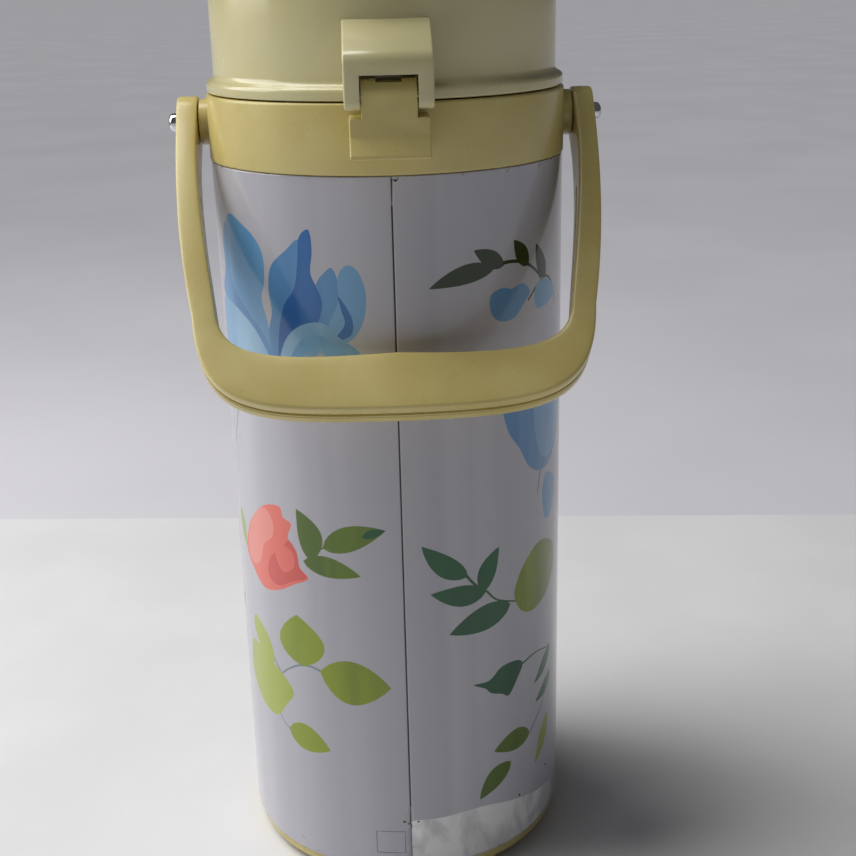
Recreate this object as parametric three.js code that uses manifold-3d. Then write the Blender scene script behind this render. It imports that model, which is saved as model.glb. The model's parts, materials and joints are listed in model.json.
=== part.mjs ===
// Pump pot: a vacuum flask with a hand pump in its hinged lid.
// Millimetres, +Z up. The origin is the centre of the underside, the spout points along -Y
// and the lid hinge is at +Y.
import * as THREE from 'three';
import { mergeVertices } from 'three/addons/utils/BufferGeometryUtils.js';
import Module from 'manifold-3d';

const wasm = await Module();
wasm.setup();

// ---------------------------------------------------------------- driving dimensions
const GAP = 0.3; // between faces that touch on the real object
const ROUND = 40; // sides of the large round pieces
const HIDDEN = 24; // sides of the large round pieces inside
const FINE = 20; // sides of the small round pieces
const SMALL = 12; // sides of pins and pipes

const sheet = { radius: 66.8, thickness: 0.5, bottom: 8, top: 285.3 };
const base = { radius: 65.8, bottom: 3, collarRadius: 56, top: 18 };
const turn = { radius: 55, padRadius: 53, padTop: 1.3, plateTop: 3.6, pinRadius: 4.6 };
const shoulder = {
  radius: 67.2, bottom: 285.6, top: 309.5, recessRadius: 62.2, deckTop: 299.5, deck: 2.5,
  neckRadius: 27, neckBottom: 283, skirtBottom: 274,
};
const liner = {
  radius: 61.5, glass: 1.8, vacuum: 3.2, bottom: 22, shoulderTop: 268, top: 281,
  mouthRadius: 24, dome: 30,
};
const pipe = { outer: 5, bore: 4.2, rise: -16, level: 291.5, drop: -99, outlet: 275, bend: 9 };
const dipTube = { outer: 3.7, bore: 2.9, bottom: 34, top: 284 };
const spout = {
  root: -60, rootHalfWidth: 17, rootTop: 302.5, rootBottom: 286.4, throat: -94, throatBottom: 280,
  brow: -92, browTop: 300.5, tipRoot: -103, tipHalfWidth: 10, tip: -113, tipHeight: 288,
};

const lid = { flangeRadius: 66.8, flangeBottom: 310, radius: 64, wall: 2.4, top: 363, mouth: 45.5 };
const hinge = {
  y: 75, z: 312.6, pinRadius: 1.8, boreRadius: 2.2, knuckleRadius: 5.4, knuckleHalf: 9.1,
  notchHalf: 9.5, bracketHalf: 14.6, notchTop: 319.2, faceY: 81, faceTop: 325.4, slopeTop: 336,
  footHalf: 13.2, footTop: 305.8, footBend: 299.8, footBottom: 292.9, footY: 83.8,
};
const plunger = { radius: 44.6, top: 366.4, skirtBottom: 349, plate: 2.6, lipIn: 7, dishIn: 11, dish: 1.4 };
const bellows = { inner: 29, outer: 37, bottom: 306.4, top: 346.2, folds: 5, wall: 1 };
const spring = { radius: 20, wire: 0.8, turns: 5.5 };
const lock = { halfLength: 13, halfWidth: 5.5, depth: 2.2, knobHalf: 4.6 };
const latch = {
  y: -68, z: 326, halfWidth: 12, earHalf: 15, headRadius: 2.8, pinRadius: 1.1,
  tabTop: 314, tabCurl: 304.4, tabEnd: 303.4, noseY: -67.7, noseBottom: 309.4, noseTop: 315,
  reliefY: -69.4, reliefBottom: 305, reliefTop: 308.6,
};

const bail = {
  pivotZ: 298.5, restAngle: 44, halfWidth: 78.2, inner: 70.6, reach: 126.4, bar: 21.8,
  halfThickTop: 9.5, halfThickBar: 6.2, screwRadius: 2.3, holeRadius: 2.7, screwHead: 3.4,
  headHeight: 4.2,
  bossRadius: 8.5, bossFace: 70.2, innerShellTop: 30, split: 1,
  cornerX: 70.6, cornerZ: -88, innerCornerX: 62.4, innerCornerRise: 18, taperEnd: -96,
};

// ---------------------------------------------------------------- materials
const finish = (color, roughness, metalness = 0) =>
  new THREE.MeshStandardMaterial({ color, roughness, metalness });
const materials = {
  cream: finish(0xd9cf8e, 0.38),
  paleCream: finish(0xe6e0b8, 0.32),
  enamel: finish(0xe4e2e6, 0.2, 0.1),
  silvered: finish(0xd8d6d0, 0.08, 0.9),
  innerPlastic: finish(0xe8e6da, 0.45),
  rubber: finish(0x3a3936, 0.8),
  seal: finish(0xc9c4b4, 0.7),
  steel: finish(0xb9b9bb, 0.3, 1),
  chrome: finish(0xe0e0e2, 0.08, 1),
};

// ---------------------------------------------------------------- geometry helpers
const v2 = (x, y) => new THREE.Vector2(x, y);

/** Turns a profile of [radius, height] points about +Z. Outer walls run upwards. */
function turned(profile, sides = ROUND) {
  const points = profile.map(([radius, height]) => v2(radius, height));
  const onAxis = points[0].x === 0 && points.at(-1).x === 0;
  if (!onAxis) points.push(points[0].clone());
  return new THREE.LatheGeometry(points, sides).rotateX(Math.PI / 2);
}

/** A plain ring or tube between two radii and two heights. */
function tube(inner, outer, bottom, top, sides = ROUND) {
  return turned([[inner, bottom], [outer, bottom], [outer, top], [inner, top]], sides);
}

/** A plain disc or rod. */
function disc(radius, bottom, top, sides = ROUND) {
  return turned([[0, bottom], [radius, bottom], [radius, top], [0, top]], sides);
}

/** Lays a piece that was turned about +Z along +X. */
const alongX = (geometry) => geometry.rotateY(Math.PI / 2);

function shapeOf(points) {
  return new THREE.Shape(points.map(([x, y]) => v2(x, y)));
}

/** Extrudes a side view drawn in Y and Z between x = from and x = to. */
function extrudeX(shape, from, to, curveSegments = 8) {
  const settings = { depth: to - from, bevelEnabled: false, curveSegments };
  const geometry = new THREE.ExtrudeGeometry(shape, settings);
  // (drawn x, drawn y, depth) becomes (Y, Z, X)
  const intoPlace = new THREE.Matrix4().set(0, 0, 1, from, 1, 0, 0, 0, 0, 1, 0, 0, 0, 0, 0, 1);
  return geometry.applyMatrix4(intoPlace);
}

/** Extrudes a plan drawn in X and Y between two heights. */
function extrudeZ(shape, from, to, curveSegments = 8) {
  const settings = { depth: to - from, bevelEnabled: false, curveSegments };
  return new THREE.ExtrudeGeometry(shape, settings).translate(0, 0, from);
}

function block(x0, x1, y0, y1, z0, z1) {
  const box = new THREE.BoxGeometry(x1 - x0, y1 - y0, z1 - z0);
  return box.translate((x0 + x1) / 2, (y0 + y1) / 2, (z0 + z1) / 2);
}

/** A circular section swept along a curve, hollow when a bore is given. */
function swept(curve, radius, bore, steps, sides) {
  const section = new THREE.Shape();
  const circle = (path, r) => {
    for (let i = 0; i < sides; i += 1) {
      const angle = (2 * Math.PI * i) / sides;
      const method = i === 0 ? 'moveTo' : 'lineTo';
      path[method](r * Math.cos(angle), r * Math.sin(angle));
    }
    path.closePath();
    return path;
  };
  circle(section, radius);
  if (bore) section.holes.push(circle(new THREE.Path(), bore));
  return new THREE.ExtrudeGeometry(section, { steps, extrudePath: curve, bevelEnabled: false });
}

/** A closed geometry as a manifold solid. */
function solid(geometry) {
  const bare = geometry.index ? geometry.toNonIndexed() : geometry.clone();
  bare.deleteAttribute('normal');
  bare.deleteAttribute('uv');
  const merged = mergeVertices(bare, 1e-3);
  const index = merged.index.array;
  const kept = [];
  for (let i = 0; i < index.length; i += 3) {
    const [a, b, c] = [index[i], index[i + 1], index[i + 2]];
    if (a !== b && b !== c && c !== a) kept.push(a, b, c);
  }
  return new wasm.Manifold(new wasm.Mesh({
    numProp: 3,
    vertProperties: new Float32Array(merged.attributes.position.array),
    triVerts: new Uint32Array(kept),
  }));
}

/** A manifold solid back as a geometry. */
function geometryOf(manifold) {
  const mesh = manifold.getMesh();
  const geometry = new THREE.BufferGeometry();
  geometry.setAttribute('position', new THREE.BufferAttribute(mesh.vertProperties, 3));
  geometry.setIndex(new THREE.BufferAttribute(mesh.triVerts, 1));
  geometry.computeVertexNormals();
  return geometry;
}

const joined = (...geometries) => geometries.map(solid).reduce((sum, next) => sum.add(next));
const without = (whole, ...cutters) => cutters.reduce((rest, c) => rest.subtract(solid(c)), whole);

const pot = new THREE.Group();

function part(name, geometry, material, parent = pot) {
  const mesh = new THREE.Mesh(geometry, material);
  mesh.name = name;
  parent.add(mesh);
  return mesh;
}

// ---------------------------------------------------------------- swivel foot
part('nonslip_pad', disc(turn.padRadius, 0, turn.padTop), materials.rubber);

const capPlate = { bottom: 4.2, top: 7 };
const snapHead = turn.pinRadius + 1.2;
part('turntable', turned([
  [0, turn.padTop + GAP],
  [turn.radius, turn.padTop + GAP],
  [turn.radius, turn.plateTop],
  [turn.pinRadius, turn.plateTop],
  [turn.pinRadius, capPlate.top + 0.4],
  [snapHead, capPlate.top + 0.4],
  [snapHead, capPlate.top + 1.4],
  [turn.pinRadius, capPlate.top + 3],
  [0, capPlate.top + 3],
]), materials.innerPlastic);

// ---------------------------------------------------------------- bottom of the pot
const collar = 2;
part('base_ring', turned([
  [base.collarRadius, base.bottom],
  [base.radius - 1.2, base.bottom],
  [base.radius, base.bottom + 1.2],
  [base.radius, base.top],
  [base.radius - collar, base.top],
  [base.radius - collar, base.bottom + 3],
  [base.collarRadius + collar, base.bottom + 3],
  [base.collarRadius + collar, base.top],
  [base.collarRadius, base.top],
]), materials.cream);

const capRadius = base.collarRadius - GAP;
part('bottom_cap', turned([
  [turn.pinRadius + 0.4, capPlate.bottom],
  [capRadius, capPlate.bottom],
  [capRadius, base.top],
  [capRadius - collar, base.top],
  [capRadius - collar, capPlate.top],
  [turn.pinRadius + 0.4, capPlate.top],
]), materials.innerPlastic);

part('liner_cushion', turned([
  [14, capPlate.top + GAP],
  [46, capPlate.top + GAP],
  [50, 24],
  [44, 24],
  [38, liner.bottom - GAP],
  [14, liner.bottom - GAP],
], HIDDEN), materials.rubber);

// ---------------------------------------------------------------- glass liner
/** Half outline of a domed bottle wall, from its bottom on the axis up to its mouth. */
function bottle(radius, bottom, shoulderTop, mouthRadius, mouthTop) {
  const points = [];
  const arcSteps = 3;
  for (let i = 0; i <= arcSteps; i += 1) {
    const angle = (i / arcSteps) * (Math.PI / 2);
    points.push([radius * Math.sin(angle), bottom + liner.dome * (1 - Math.cos(angle))]);
  }
  const shoulderSpan = radius - mouthRadius;
  for (let i = 0; i <= arcSteps; i += 1) {
    const angle = (i / arcSteps) * (Math.PI / 2);
    const rise = liner.dome * Math.sin(angle);
    points.push([mouthRadius + shoulderSpan * Math.cos(angle), shoulderTop - liner.dome + rise]);
  }
  points.push([mouthRadius, mouthTop]);
  return points;
}

const inset = liner.glass + liner.vacuum;
const lipBottom = liner.top - 4;
const lipRadius = liner.mouthRadius + inset + 0.2;
const innerOutside = bottle(
  liner.radius - inset, liner.bottom + inset, liner.shoulderTop - inset,
  liner.mouthRadius + liner.glass, lipBottom);
const innerWall = bottle(
  liner.radius - inset - liner.glass, liner.bottom + inset + liner.glass,
  liner.shoulderTop - inset - liner.glass, liner.mouthRadius, liner.top);
part('liner_inner', turned([
  ...innerOutside,
  [lipRadius, lipBottom],
  [lipRadius, liner.top],
  ...innerWall.reverse(),
], HIDDEN), materials.silvered);

/** The outer bottle carries the hollow nib through which the gap was emptied of air. */
const outerWall = bottle(
  liner.radius, liner.bottom, liner.shoulderTop, lipRadius, lipBottom - GAP);
const outerInside = bottle(
  liner.radius - liner.glass, liner.bottom + liner.glass, liner.shoulderTop - liner.glass,
  lipRadius - liner.glass, lipBottom - GAP);
const nib = { bore: 2, radius: 3.4, length: 4 };
outerWall[0] = [nib.radius, liner.bottom];
outerInside[0] = [nib.bore, liner.bottom + liner.glass];
part('liner_outer', turned([
  [nib.radius, liner.bottom - nib.length],
  ...outerWall,
  ...outerInside.reverse(),
  [nib.bore, liner.bottom - nib.length],
], HIDDEN), materials.silvered);

part('mouth_gasket', tube(
  22, 30.4, liner.top + GAP, shoulder.neckBottom - GAP, HIDDEN), materials.seal);

// ---------------------------------------------------------------- outer shell
part('body_shell', tube(
  sheet.radius - sheet.thickness, sheet.radius, sheet.bottom, sheet.top), materials.enamel);

// ---------------------------------------------------------------- water pipe
const riseTop = pipe.level - pipe.bend;
const elbowEnd = riseTop - 9;
const pipeRoute = new THREE.CurvePath();
const at = (y, z) => new THREE.Vector3(0, y, z);
pipeRoute.add(new THREE.LineCurve3(at(pipe.rise, elbowEnd), at(pipe.rise, riseTop)));
pipeRoute.add(new THREE.QuadraticBezierCurve3(
  at(pipe.rise, riseTop), at(pipe.rise, pipe.level), at(pipe.rise - pipe.bend, pipe.level)));
pipeRoute.add(new THREE.LineCurve3(
  at(pipe.rise - pipe.bend, pipe.level), at(pipe.drop + pipe.bend, pipe.level)));
pipeRoute.add(new THREE.QuadraticBezierCurve3(
  at(pipe.drop + pipe.bend, pipe.level), at(pipe.drop, pipe.level),
  at(pipe.drop, pipe.level - pipe.bend)));
pipeRoute.add(new THREE.LineCurve3(
  at(pipe.drop, pipe.level - pipe.bend), at(pipe.drop, pipe.outlet)));

const pipeSteps = 26;
part('delivery_pipe', swept(pipeRoute, pipe.outer, pipe.bore, pipeSteps, SMALL), materials.steel);
const pipeChannel = () => swept(pipeRoute, pipe.outer + 0.5, 0, pipeSteps, SMALL);

part('dip_tube', tube(dipTube.bore, dipTube.outer, dipTube.bottom, dipTube.top, SMALL)
  .translate(0, pipe.rise, 0), materials.steel);
part('tube_seal', tube(dipTube.outer + GAP, 6.4, elbowEnd - 3.4, elbowEnd - GAP, SMALL)
  .translate(0, pipe.rise, 0), materials.seal);

// ---------------------------------------------------------------- shoulder ring
const shoulderRing = turned([
  [shoulder.recessRadius + 1.4, shoulder.skirtBottom],
  [sheet.radius - sheet.thickness - 0.4, shoulder.skirtBottom],
  [sheet.radius - sheet.thickness - 0.4, shoulder.bottom],
  [shoulder.radius, shoulder.bottom],
  [shoulder.radius, shoulder.top - 1],
  [shoulder.radius - 1, shoulder.top],
  [shoulder.recessRadius, shoulder.top],
  [shoulder.recessRadius, shoulder.deckTop],
  [shoulder.neckRadius, shoulder.deckTop],
  [shoulder.neckRadius, shoulder.neckBottom],
  [shoulder.neckRadius + 2.4, shoulder.neckBottom],
  [shoulder.neckRadius + 2.4, shoulder.deckTop - shoulder.deck],
  [shoulder.recessRadius + 1.4, shoulder.deckTop - shoulder.deck],
]);

/** Hinge tongue: a knuckle round the pin on a stem that stands on the foot. */
const wallY = shoulder.recessRadius + 2; // inside the ring's wall, so that the two join
const knuckle = new THREE.Shape();
knuckle.moveTo(wallY, hinge.footTop - 2);
knuckle.lineTo(hinge.y + hinge.knuckleRadius, hinge.footTop - 2);
knuckle.lineTo(hinge.y + hinge.knuckleRadius, hinge.z);
knuckle.absarc(hinge.y, hinge.z, hinge.knuckleRadius, 0, Math.PI, false);
knuckle.lineTo(hinge.y - hinge.knuckleRadius, shoulder.top);
knuckle.lineTo(wallY, shoulder.top - 0.5);
knuckle.closePath();

const footShape = shapeOf([
  [wallY, hinge.footBottom],
  [hinge.footY, hinge.footBottom],
  [hinge.footY, hinge.footBottom + 1.2],
  [hinge.y + hinge.knuckleRadius, hinge.footBend],
  [hinge.y + hinge.knuckleRadius, hinge.footTop],
  [wallY, hinge.footTop],
]);

const bossRoot = shoulder.radius - 2;
const boss = (side) => alongX(disc(bail.bossRadius, bossRoot, bail.bossFace, FINE))
  .rotateZ(side < 0 ? Math.PI : 0).translate(0, 0, bail.pivotZ);
const screwHole = (side) => alongX(disc(bail.holeRadius, 58, bail.bossFace + 1, SMALL))
  .rotateZ(side < 0 ? Math.PI : 0).translate(0, 0, bail.pivotZ);
const boreHalf = 16;
const pinBore = () => alongX(disc(hinge.boreRadius, -boreHalf, boreHalf, SMALL))
  .translate(0, hinge.y, hinge.z);
const catchBump = block(-11, 11, -shoulder.radius - 1.6, -shoulder.radius + 2, 305.6, 308);

const shoulderSolid = without(
  joined(
    shoulderRing,
    extrudeX(knuckle, -hinge.knuckleHalf, hinge.knuckleHalf),
    extrudeX(footShape, -hinge.footHalf, hinge.footHalf),
    boss(1),
    boss(-1),
    catchBump,
  ),
  screwHole(1), screwHole(-1), pinBore(), pipeChannel());
part('shoulder_ring', geometryOf(shoulderSolid), materials.cream);

// ---------------------------------------------------------------- spout
const spoutSide = new THREE.Shape();
spoutSide.moveTo(spout.root, spout.rootBottom);
spoutSide.lineTo(spout.throat + 10, spout.rootBottom - 0.4);
spoutSide.quadraticCurveTo(
  spout.throat + 1, spout.throatBottom + 5, spout.throat, spout.throatBottom);
spoutSide.lineTo(spout.throat - 10, spout.throatBottom);
spoutSide.quadraticCurveTo(
  spout.tip + 4, spout.throatBottom + 0.5, spout.tip, spout.tipHeight);
spoutSide.quadraticCurveTo(spout.tip + 3, spout.browTop - 2, spout.brow, spout.browTop);
spoutSide.lineTo(spout.root, spout.rootTop);
spoutSide.closePath();
const spoutPlan = new THREE.Shape();
spoutPlan.moveTo(spout.rootHalfWidth, spout.root);
spoutPlan.lineTo(spout.tipHalfWidth, spout.tipRoot);
spoutPlan.quadraticCurveTo(spout.tipHalfWidth - 1, spout.tip, 0, spout.tip - 0.5);
spoutPlan.quadraticCurveTo(
  -spout.tipHalfWidth + 1, spout.tip, -spout.tipHalfWidth, spout.tipRoot);
spoutPlan.lineTo(-spout.rootHalfWidth, spout.root);
spoutPlan.closePath();
const allHeights = [270, 310];
const spoutSolid = without(
  solid(extrudeX(spoutSide, -20, 20, 5)).intersect(solid(extrudeZ(spoutPlan, ...allHeights, 5))),
  disc(shoulder.radius + GAP, ...allHeights), pipeChannel());
part('spout_cover', geometryOf(spoutSolid), materials.cream);

part('spout_tip', tube(pipe.outer + 0.5, pipe.outer + 2.2, pipe.outlet + 0.6, 279.6, FINE)
  .translate(0, pipe.drop, 0), materials.seal);

// ---------------------------------------------------------------- handle
/** The handle is drawn hanging straight down: x across, z down the arms, y through it. */
const handle = new THREE.Group();
handle.position.z = bail.pivotZ;
handle.rotation.x = THREE.MathUtils.degToRad(bail.restAngle);
pot.add(handle);

/** Half outline of the bail, arm top to the middle of the grip. */
function halfBail(mirror) {
  const curve = new THREE.CurvePath();
  const p = (x, z) => v2(mirror * x, z);
  const armTop = bail.halfThickTop;
  curve.add(new THREE.LineCurve(p(bail.inner, armTop), p(bail.halfWidth - 2, armTop)));
  curve.add(new THREE.LineCurve(p(bail.halfWidth - 2, armTop), p(bail.halfWidth, armTop - 4)));
  curve.add(new THREE.LineCurve(p(bail.halfWidth, armTop - 4), p(bail.halfWidth, -8)));
  curve.add(new THREE.CubicBezierCurve(
    p(bail.halfWidth, -8), p(bail.halfWidth - 0.4, -40), p(bail.halfWidth - 3, -66),
    p(bail.cornerX, bail.cornerZ)));
  curve.add(new THREE.CubicBezierCurve(
    p(bail.cornerX, bail.cornerZ), p(bail.cornerX - 2.6, -bail.reach + 1.8),
    p(50, -bail.reach + 0.3), p(0, -bail.reach)));
  return curve;
}
function halfBailInner(mirror) {
  const curve = new THREE.CurvePath();
  const p = (x, z) => v2(mirror * x, z);
  const gripTop = -bail.reach + bail.bar;
  curve.add(new THREE.CubicBezierCurve(
    p(0, gripTop), p(46, gripTop - 2.2), p(60, gripTop),
    p(bail.innerCornerX, gripTop + bail.innerCornerRise)));
  curve.add(new THREE.CubicBezierCurve(
    p(bail.innerCornerX, gripTop + bail.innerCornerRise), p(66, -62), p(bail.inner - 0.8, -42),
    p(bail.inner, -16)));
  curve.add(new THREE.LineCurve(p(bail.inner, -16), p(bail.inner, bail.halfThickTop)));
  return curve;
}
const bailDivisions = 6;
const pointsOf = (curve) => curve.getPoints(bailDivisions).map((p) => [p.x, p.y]);
const bailOutline = [
  ...pointsOf(halfBail(1)),
  ...pointsOf(halfBail(-1)).reverse(),
  ...pointsOf(halfBailInner(-1)).reverse(),
  ...pointsOf(halfBailInner(1)),
];
const distinct = bailOutline.filter(([x, z], i) => {
  const [nextX, nextZ] = bailOutline[(i + 1) % bailOutline.length];
  return Math.hypot(nextX - x, nextZ - z) > 0.01;
});
const cutReach = 90; // beyond the handle's sides
const cutDepth = 20; // beyond its thickness
const bailPlan = new THREE.ExtrudeGeometry(
  shapeOf(distinct), { depth: 2 * cutDepth, bevelEnabled: false })
  .rotateX(Math.PI / 2).translate(0, cutDepth, 0);

/** Side view of an arm: round top, tapering to the grip. */
const armSide = new THREE.Shape();
armSide.absarc(0, 0, bail.halfThickTop, 0, Math.PI, false);
armSide.bezierCurveTo(-9.2, -40, -7.8, -70, -bail.halfThickBar, bail.taperEnd);
armSide.lineTo(-bail.halfThickBar, -bail.reach + 2);
armSide.lineTo(-bail.halfThickBar + 2, -bail.reach - 1);
armSide.lineTo(bail.halfThickBar - 2, -bail.reach - 1);
armSide.lineTo(bail.halfThickBar, -bail.reach + 2);
armSide.lineTo(bail.halfThickBar, bail.taperEnd);
armSide.bezierCurveTo(7.8, -70, 9.2, -40, bail.halfThickTop, 0);
const handleWhole = without(
  solid(bailPlan).intersect(solid(extrudeX(armSide, -cutReach, cutReach, 6))),
  alongX(disc(bail.holeRadius, -cutReach, cutReach, SMALL)));

const underBlock = (gap) => solid(block(
  -cutReach, cutReach, -cutDepth, bail.split + gap, -bail.reach - 5, -bail.innerShellTop + gap));
const underSide = underBlock(0);
const underCut = underBlock(GAP);
part('handle_outer', geometryOf(handleWhole.subtract(underCut)), materials.cream, handle);
const underShells = handleWhole.intersect(underSide);
part('handle_inner', geometryOf(underShells), materials.cream, handle);

/** Shoulder screw: domed head outside the arm, shank through the arm and into the boss. */
function pivotScrew(side) {
  const screw = turned([
    [0, 60],
    [bail.screwRadius, 60],
    [bail.screwRadius, bail.halfWidth + GAP],
    [bail.screwHead, bail.halfWidth + GAP],
    [bail.screwHead, bail.halfWidth + bail.headHeight - 1.8],
    [bail.screwHead - 1.2, bail.halfWidth + bail.headHeight - 0.4],
    [0, bail.halfWidth + bail.headHeight],
  ], FINE);
  return alongX(screw).rotateZ(side < 0 ? Math.PI : 0).translate(0, 0, bail.pivotZ);
}
part('pivot_screw_left', pivotScrew(-1), materials.chrome);
part('pivot_screw_right', pivotScrew(1), materials.chrome);

// ---------------------------------------------------------------- lid
const lidInside = lid.radius - lid.wall;
const crown = 12;
const crownArc = [];
const crownInside = [];
const crownSteps = 3;
for (let i = 0; i <= crownSteps; i += 1) {
  const angle = (i / crownSteps) * (Math.PI / 2);
  const rise = crown * Math.sin(angle);
  const run = crown * (1 - Math.cos(angle));
  crownArc.push([lid.radius - run, lid.top - crown + rise]);
  crownInside.push([lidInside - run * 0.8, lid.top - lid.wall - crown + rise]);
}
const lidTurned = turned([
  [lidInside - 1, lid.flangeBottom],
  [lid.flangeRadius - 0.8, lid.flangeBottom],
  [lid.flangeRadius, lid.flangeBottom + 0.8],
  [lid.flangeRadius, lid.flangeBottom + 3.2],
  [lid.flangeRadius - 1.2, lid.flangeBottom + 4.4],
  [lid.radius + 0.5, lid.flangeBottom + 5.4],
  [lid.radius, lid.flangeBottom + 7.5],
  ...crownArc,
  [lid.mouth, lid.top],
  [lid.mouth, lid.top - 11],
  [lid.mouth + lid.wall, lid.top - 11],
  [lid.mouth + lid.wall, lid.top - lid.wall],
  ...crownInside.reverse(),
  [lidInside, lid.flangeBottom + 3],
  [lidInside - 1, lid.flangeBottom + 3],
]);

/** Side view of the hinge bracket: flush with the wall at its top, sloping out to the ears. */
const bracketSide = new THREE.Shape();
const earRound = 4.4;
const innerY = lid.radius - 1.5;
bracketSide.moveTo(innerY, hinge.slopeTop);
bracketSide.lineTo(lid.radius - 0.1, hinge.slopeTop);
bracketSide.lineTo(hinge.faceY, hinge.faceTop);
bracketSide.lineTo(hinge.faceY, hinge.z);
bracketSide.quadraticCurveTo(hinge.faceY - 0.4, hinge.z - earRound, hinge.y + 1, hinge.z - earRound);
bracketSide.lineTo(hinge.y - 4, hinge.z - 3.4);
bracketSide.lineTo(hinge.y - 6, lid.flangeBottom + 1);
bracketSide.lineTo(innerY, lid.flangeBottom + 1);
bracketSide.closePath();
const notch = block(-hinge.notchHalf, hinge.notchHalf, lid.flangeRadius + 0.2, 90, 300, hinge.notchTop);

/** Two ears on the front of the lid carry the latch pin. */
const latchEar = new THREE.Shape();
latchEar.absarc(latch.y, latch.z, latch.headRadius, Math.PI / 2, (3 * Math.PI) / 2, false);
latchEar.lineTo(-lid.radius + 1.5, latch.z - latch.headRadius - 1);
latchEar.lineTo(-lid.radius + 1.5, latch.z + latch.headRadius + 1);
latchEar.closePath();
const latchBore = () => alongX(disc(latch.pinRadius + GAP, -boreHalf, boreHalf, SMALL))
  .translate(0, latch.y, latch.z);
const earInner = latch.halfWidth + 0.4;
const lidSolid = without(
  joined(
    lidTurned,
    extrudeX(bracketSide, -hinge.bracketHalf, hinge.bracketHalf),
    extrudeX(latchEar, earInner, latch.earHalf, 5),
    extrudeX(latchEar, -latch.earHalf, -earInner, 5),
  ),
  notch, pinBore(), latchBore());
part('lid_shell', geometryOf(lidSolid), materials.paleCream);

const pinHalf = hinge.bracketHalf - GAP;
part('hinge_pin', alongX(disc(hinge.pinRadius, -pinHalf, pinHalf, SMALL))
  .translate(0, hinge.y, hinge.z), materials.steel);

// ---------------------------------------------------------------- lid latch
const leverSide = new THREE.Shape();
leverSide.absarc(latch.y, latch.z, latch.headRadius, 0, Math.PI, false);
leverSide.lineTo(latch.y - 3.6, latch.tabTop);
leverSide.quadraticCurveTo(latch.y - 4.4, latch.tabTop - 7, latch.y - 7.5, latch.tabCurl);
leverSide.lineTo(latch.y - 6, latch.tabEnd);
leverSide.lineTo(latch.reliefY, latch.reliefBottom);
leverSide.lineTo(latch.reliefY, latch.reliefTop);
leverSide.lineTo(latch.noseY, latch.noseBottom);
leverSide.lineTo(latch.noseY, latch.noseTop);
leverSide.lineTo(latch.y + latch.headRadius, latch.noseTop + 4);
leverSide.closePath();
part('latch_lever', geometryOf(without(
  solid(extrudeX(leverSide, -latch.halfWidth, latch.halfWidth, 5)), latchBore())), materials.cream);
part('latch_pin', alongX(disc(latch.pinRadius, -latch.earHalf + 0.2, latch.earHalf - 0.2, SMALL))
  .translate(0, latch.y, latch.z), materials.steel);

/** Leaf spring between the lid wall and the lever. */
const leafBack = -lid.radius - GAP;
part('latch_spring', block(-4, 4, leafBack - 0.4, leafBack, 318.5, 323), materials.steel);

// ---------------------------------------------------------------- pump
const floorZ = 302.7;
const airPort = 7;
part('lid_base', turned([
  [airPort, floorZ],
  [54, floorZ],
  [56, floorZ + 2],
  [57, lid.flangeBottom + 1],
  [lidInside - 1 - GAP, lid.flangeBottom + 1],
  [lidInside - 1 - GAP, lid.flangeBottom + 3.4],
  [54.6, lid.flangeBottom + 3.4],
  [53, floorZ + 3],
  [airPort, floorZ + 3],
]), materials.innerPlastic);
part('lid_gasket', tube(28, 34, shoulder.deckTop + GAP, floorZ - GAP, HIDDEN), materials.seal);
part('air_port', turned([
  [airPort - 3, floorZ - 2.4],
  [airPort - 1.6, floorZ - 2.4],
  [airPort - GAP, floorZ],
  [airPort - GAP, floorZ + 4],
  [airPort - 3, floorZ + 4],
], FINE), materials.seal);

const bellowsOuter = [];
const bellowsInner = [];
const foldHeight = (bellows.top - bellows.bottom) / (2 * bellows.folds);
for (let i = 0; i <= 2 * bellows.folds; i += 1) {
  const radius = i % 2 ? bellows.outer : bellows.inner + bellows.wall * 2;
  const height = bellows.bottom + i * foldHeight;
  bellowsOuter.push([radius, height]);
  bellowsInner.push([radius - bellows.wall * 2, height]);
}
part('bellows', turned([...bellowsOuter, ...bellowsInner.reverse()], 24), materials.rubber);

class Helix extends THREE.Curve {
  constructor(radius, bottom, top, turns) {
    super();
    Object.assign(this, { radius, bottom, top, turns });
  }

  getPoint(t, target = new THREE.Vector3()) {
    const angle = 2 * Math.PI * this.turns * t;
    const height = this.bottom + (this.top - this.bottom) * t;
    return target.set(this.radius * Math.cos(angle), this.radius * Math.sin(angle), height);
  }
}
const coil = new Helix(
  spring.radius, bellows.bottom + spring.wire + 0.6, bellows.top - spring.wire - 0.2, spring.turns);
part('pump_spring', swept(coil, spring.wire, 0, 66, 5), materials.steel);

part('bellows_plate', turned([
  [5, bellows.top + GAP],
  [38, bellows.top + GAP],
  [38, bellows.top + 2.6],
  [5, bellows.top + 2.6],
], HIDDEN), materials.innerPlastic);
part('intake_valve', disc(8, bellows.top + 2.6 + GAP, bellows.top + 4, FINE), materials.rubber);

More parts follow.
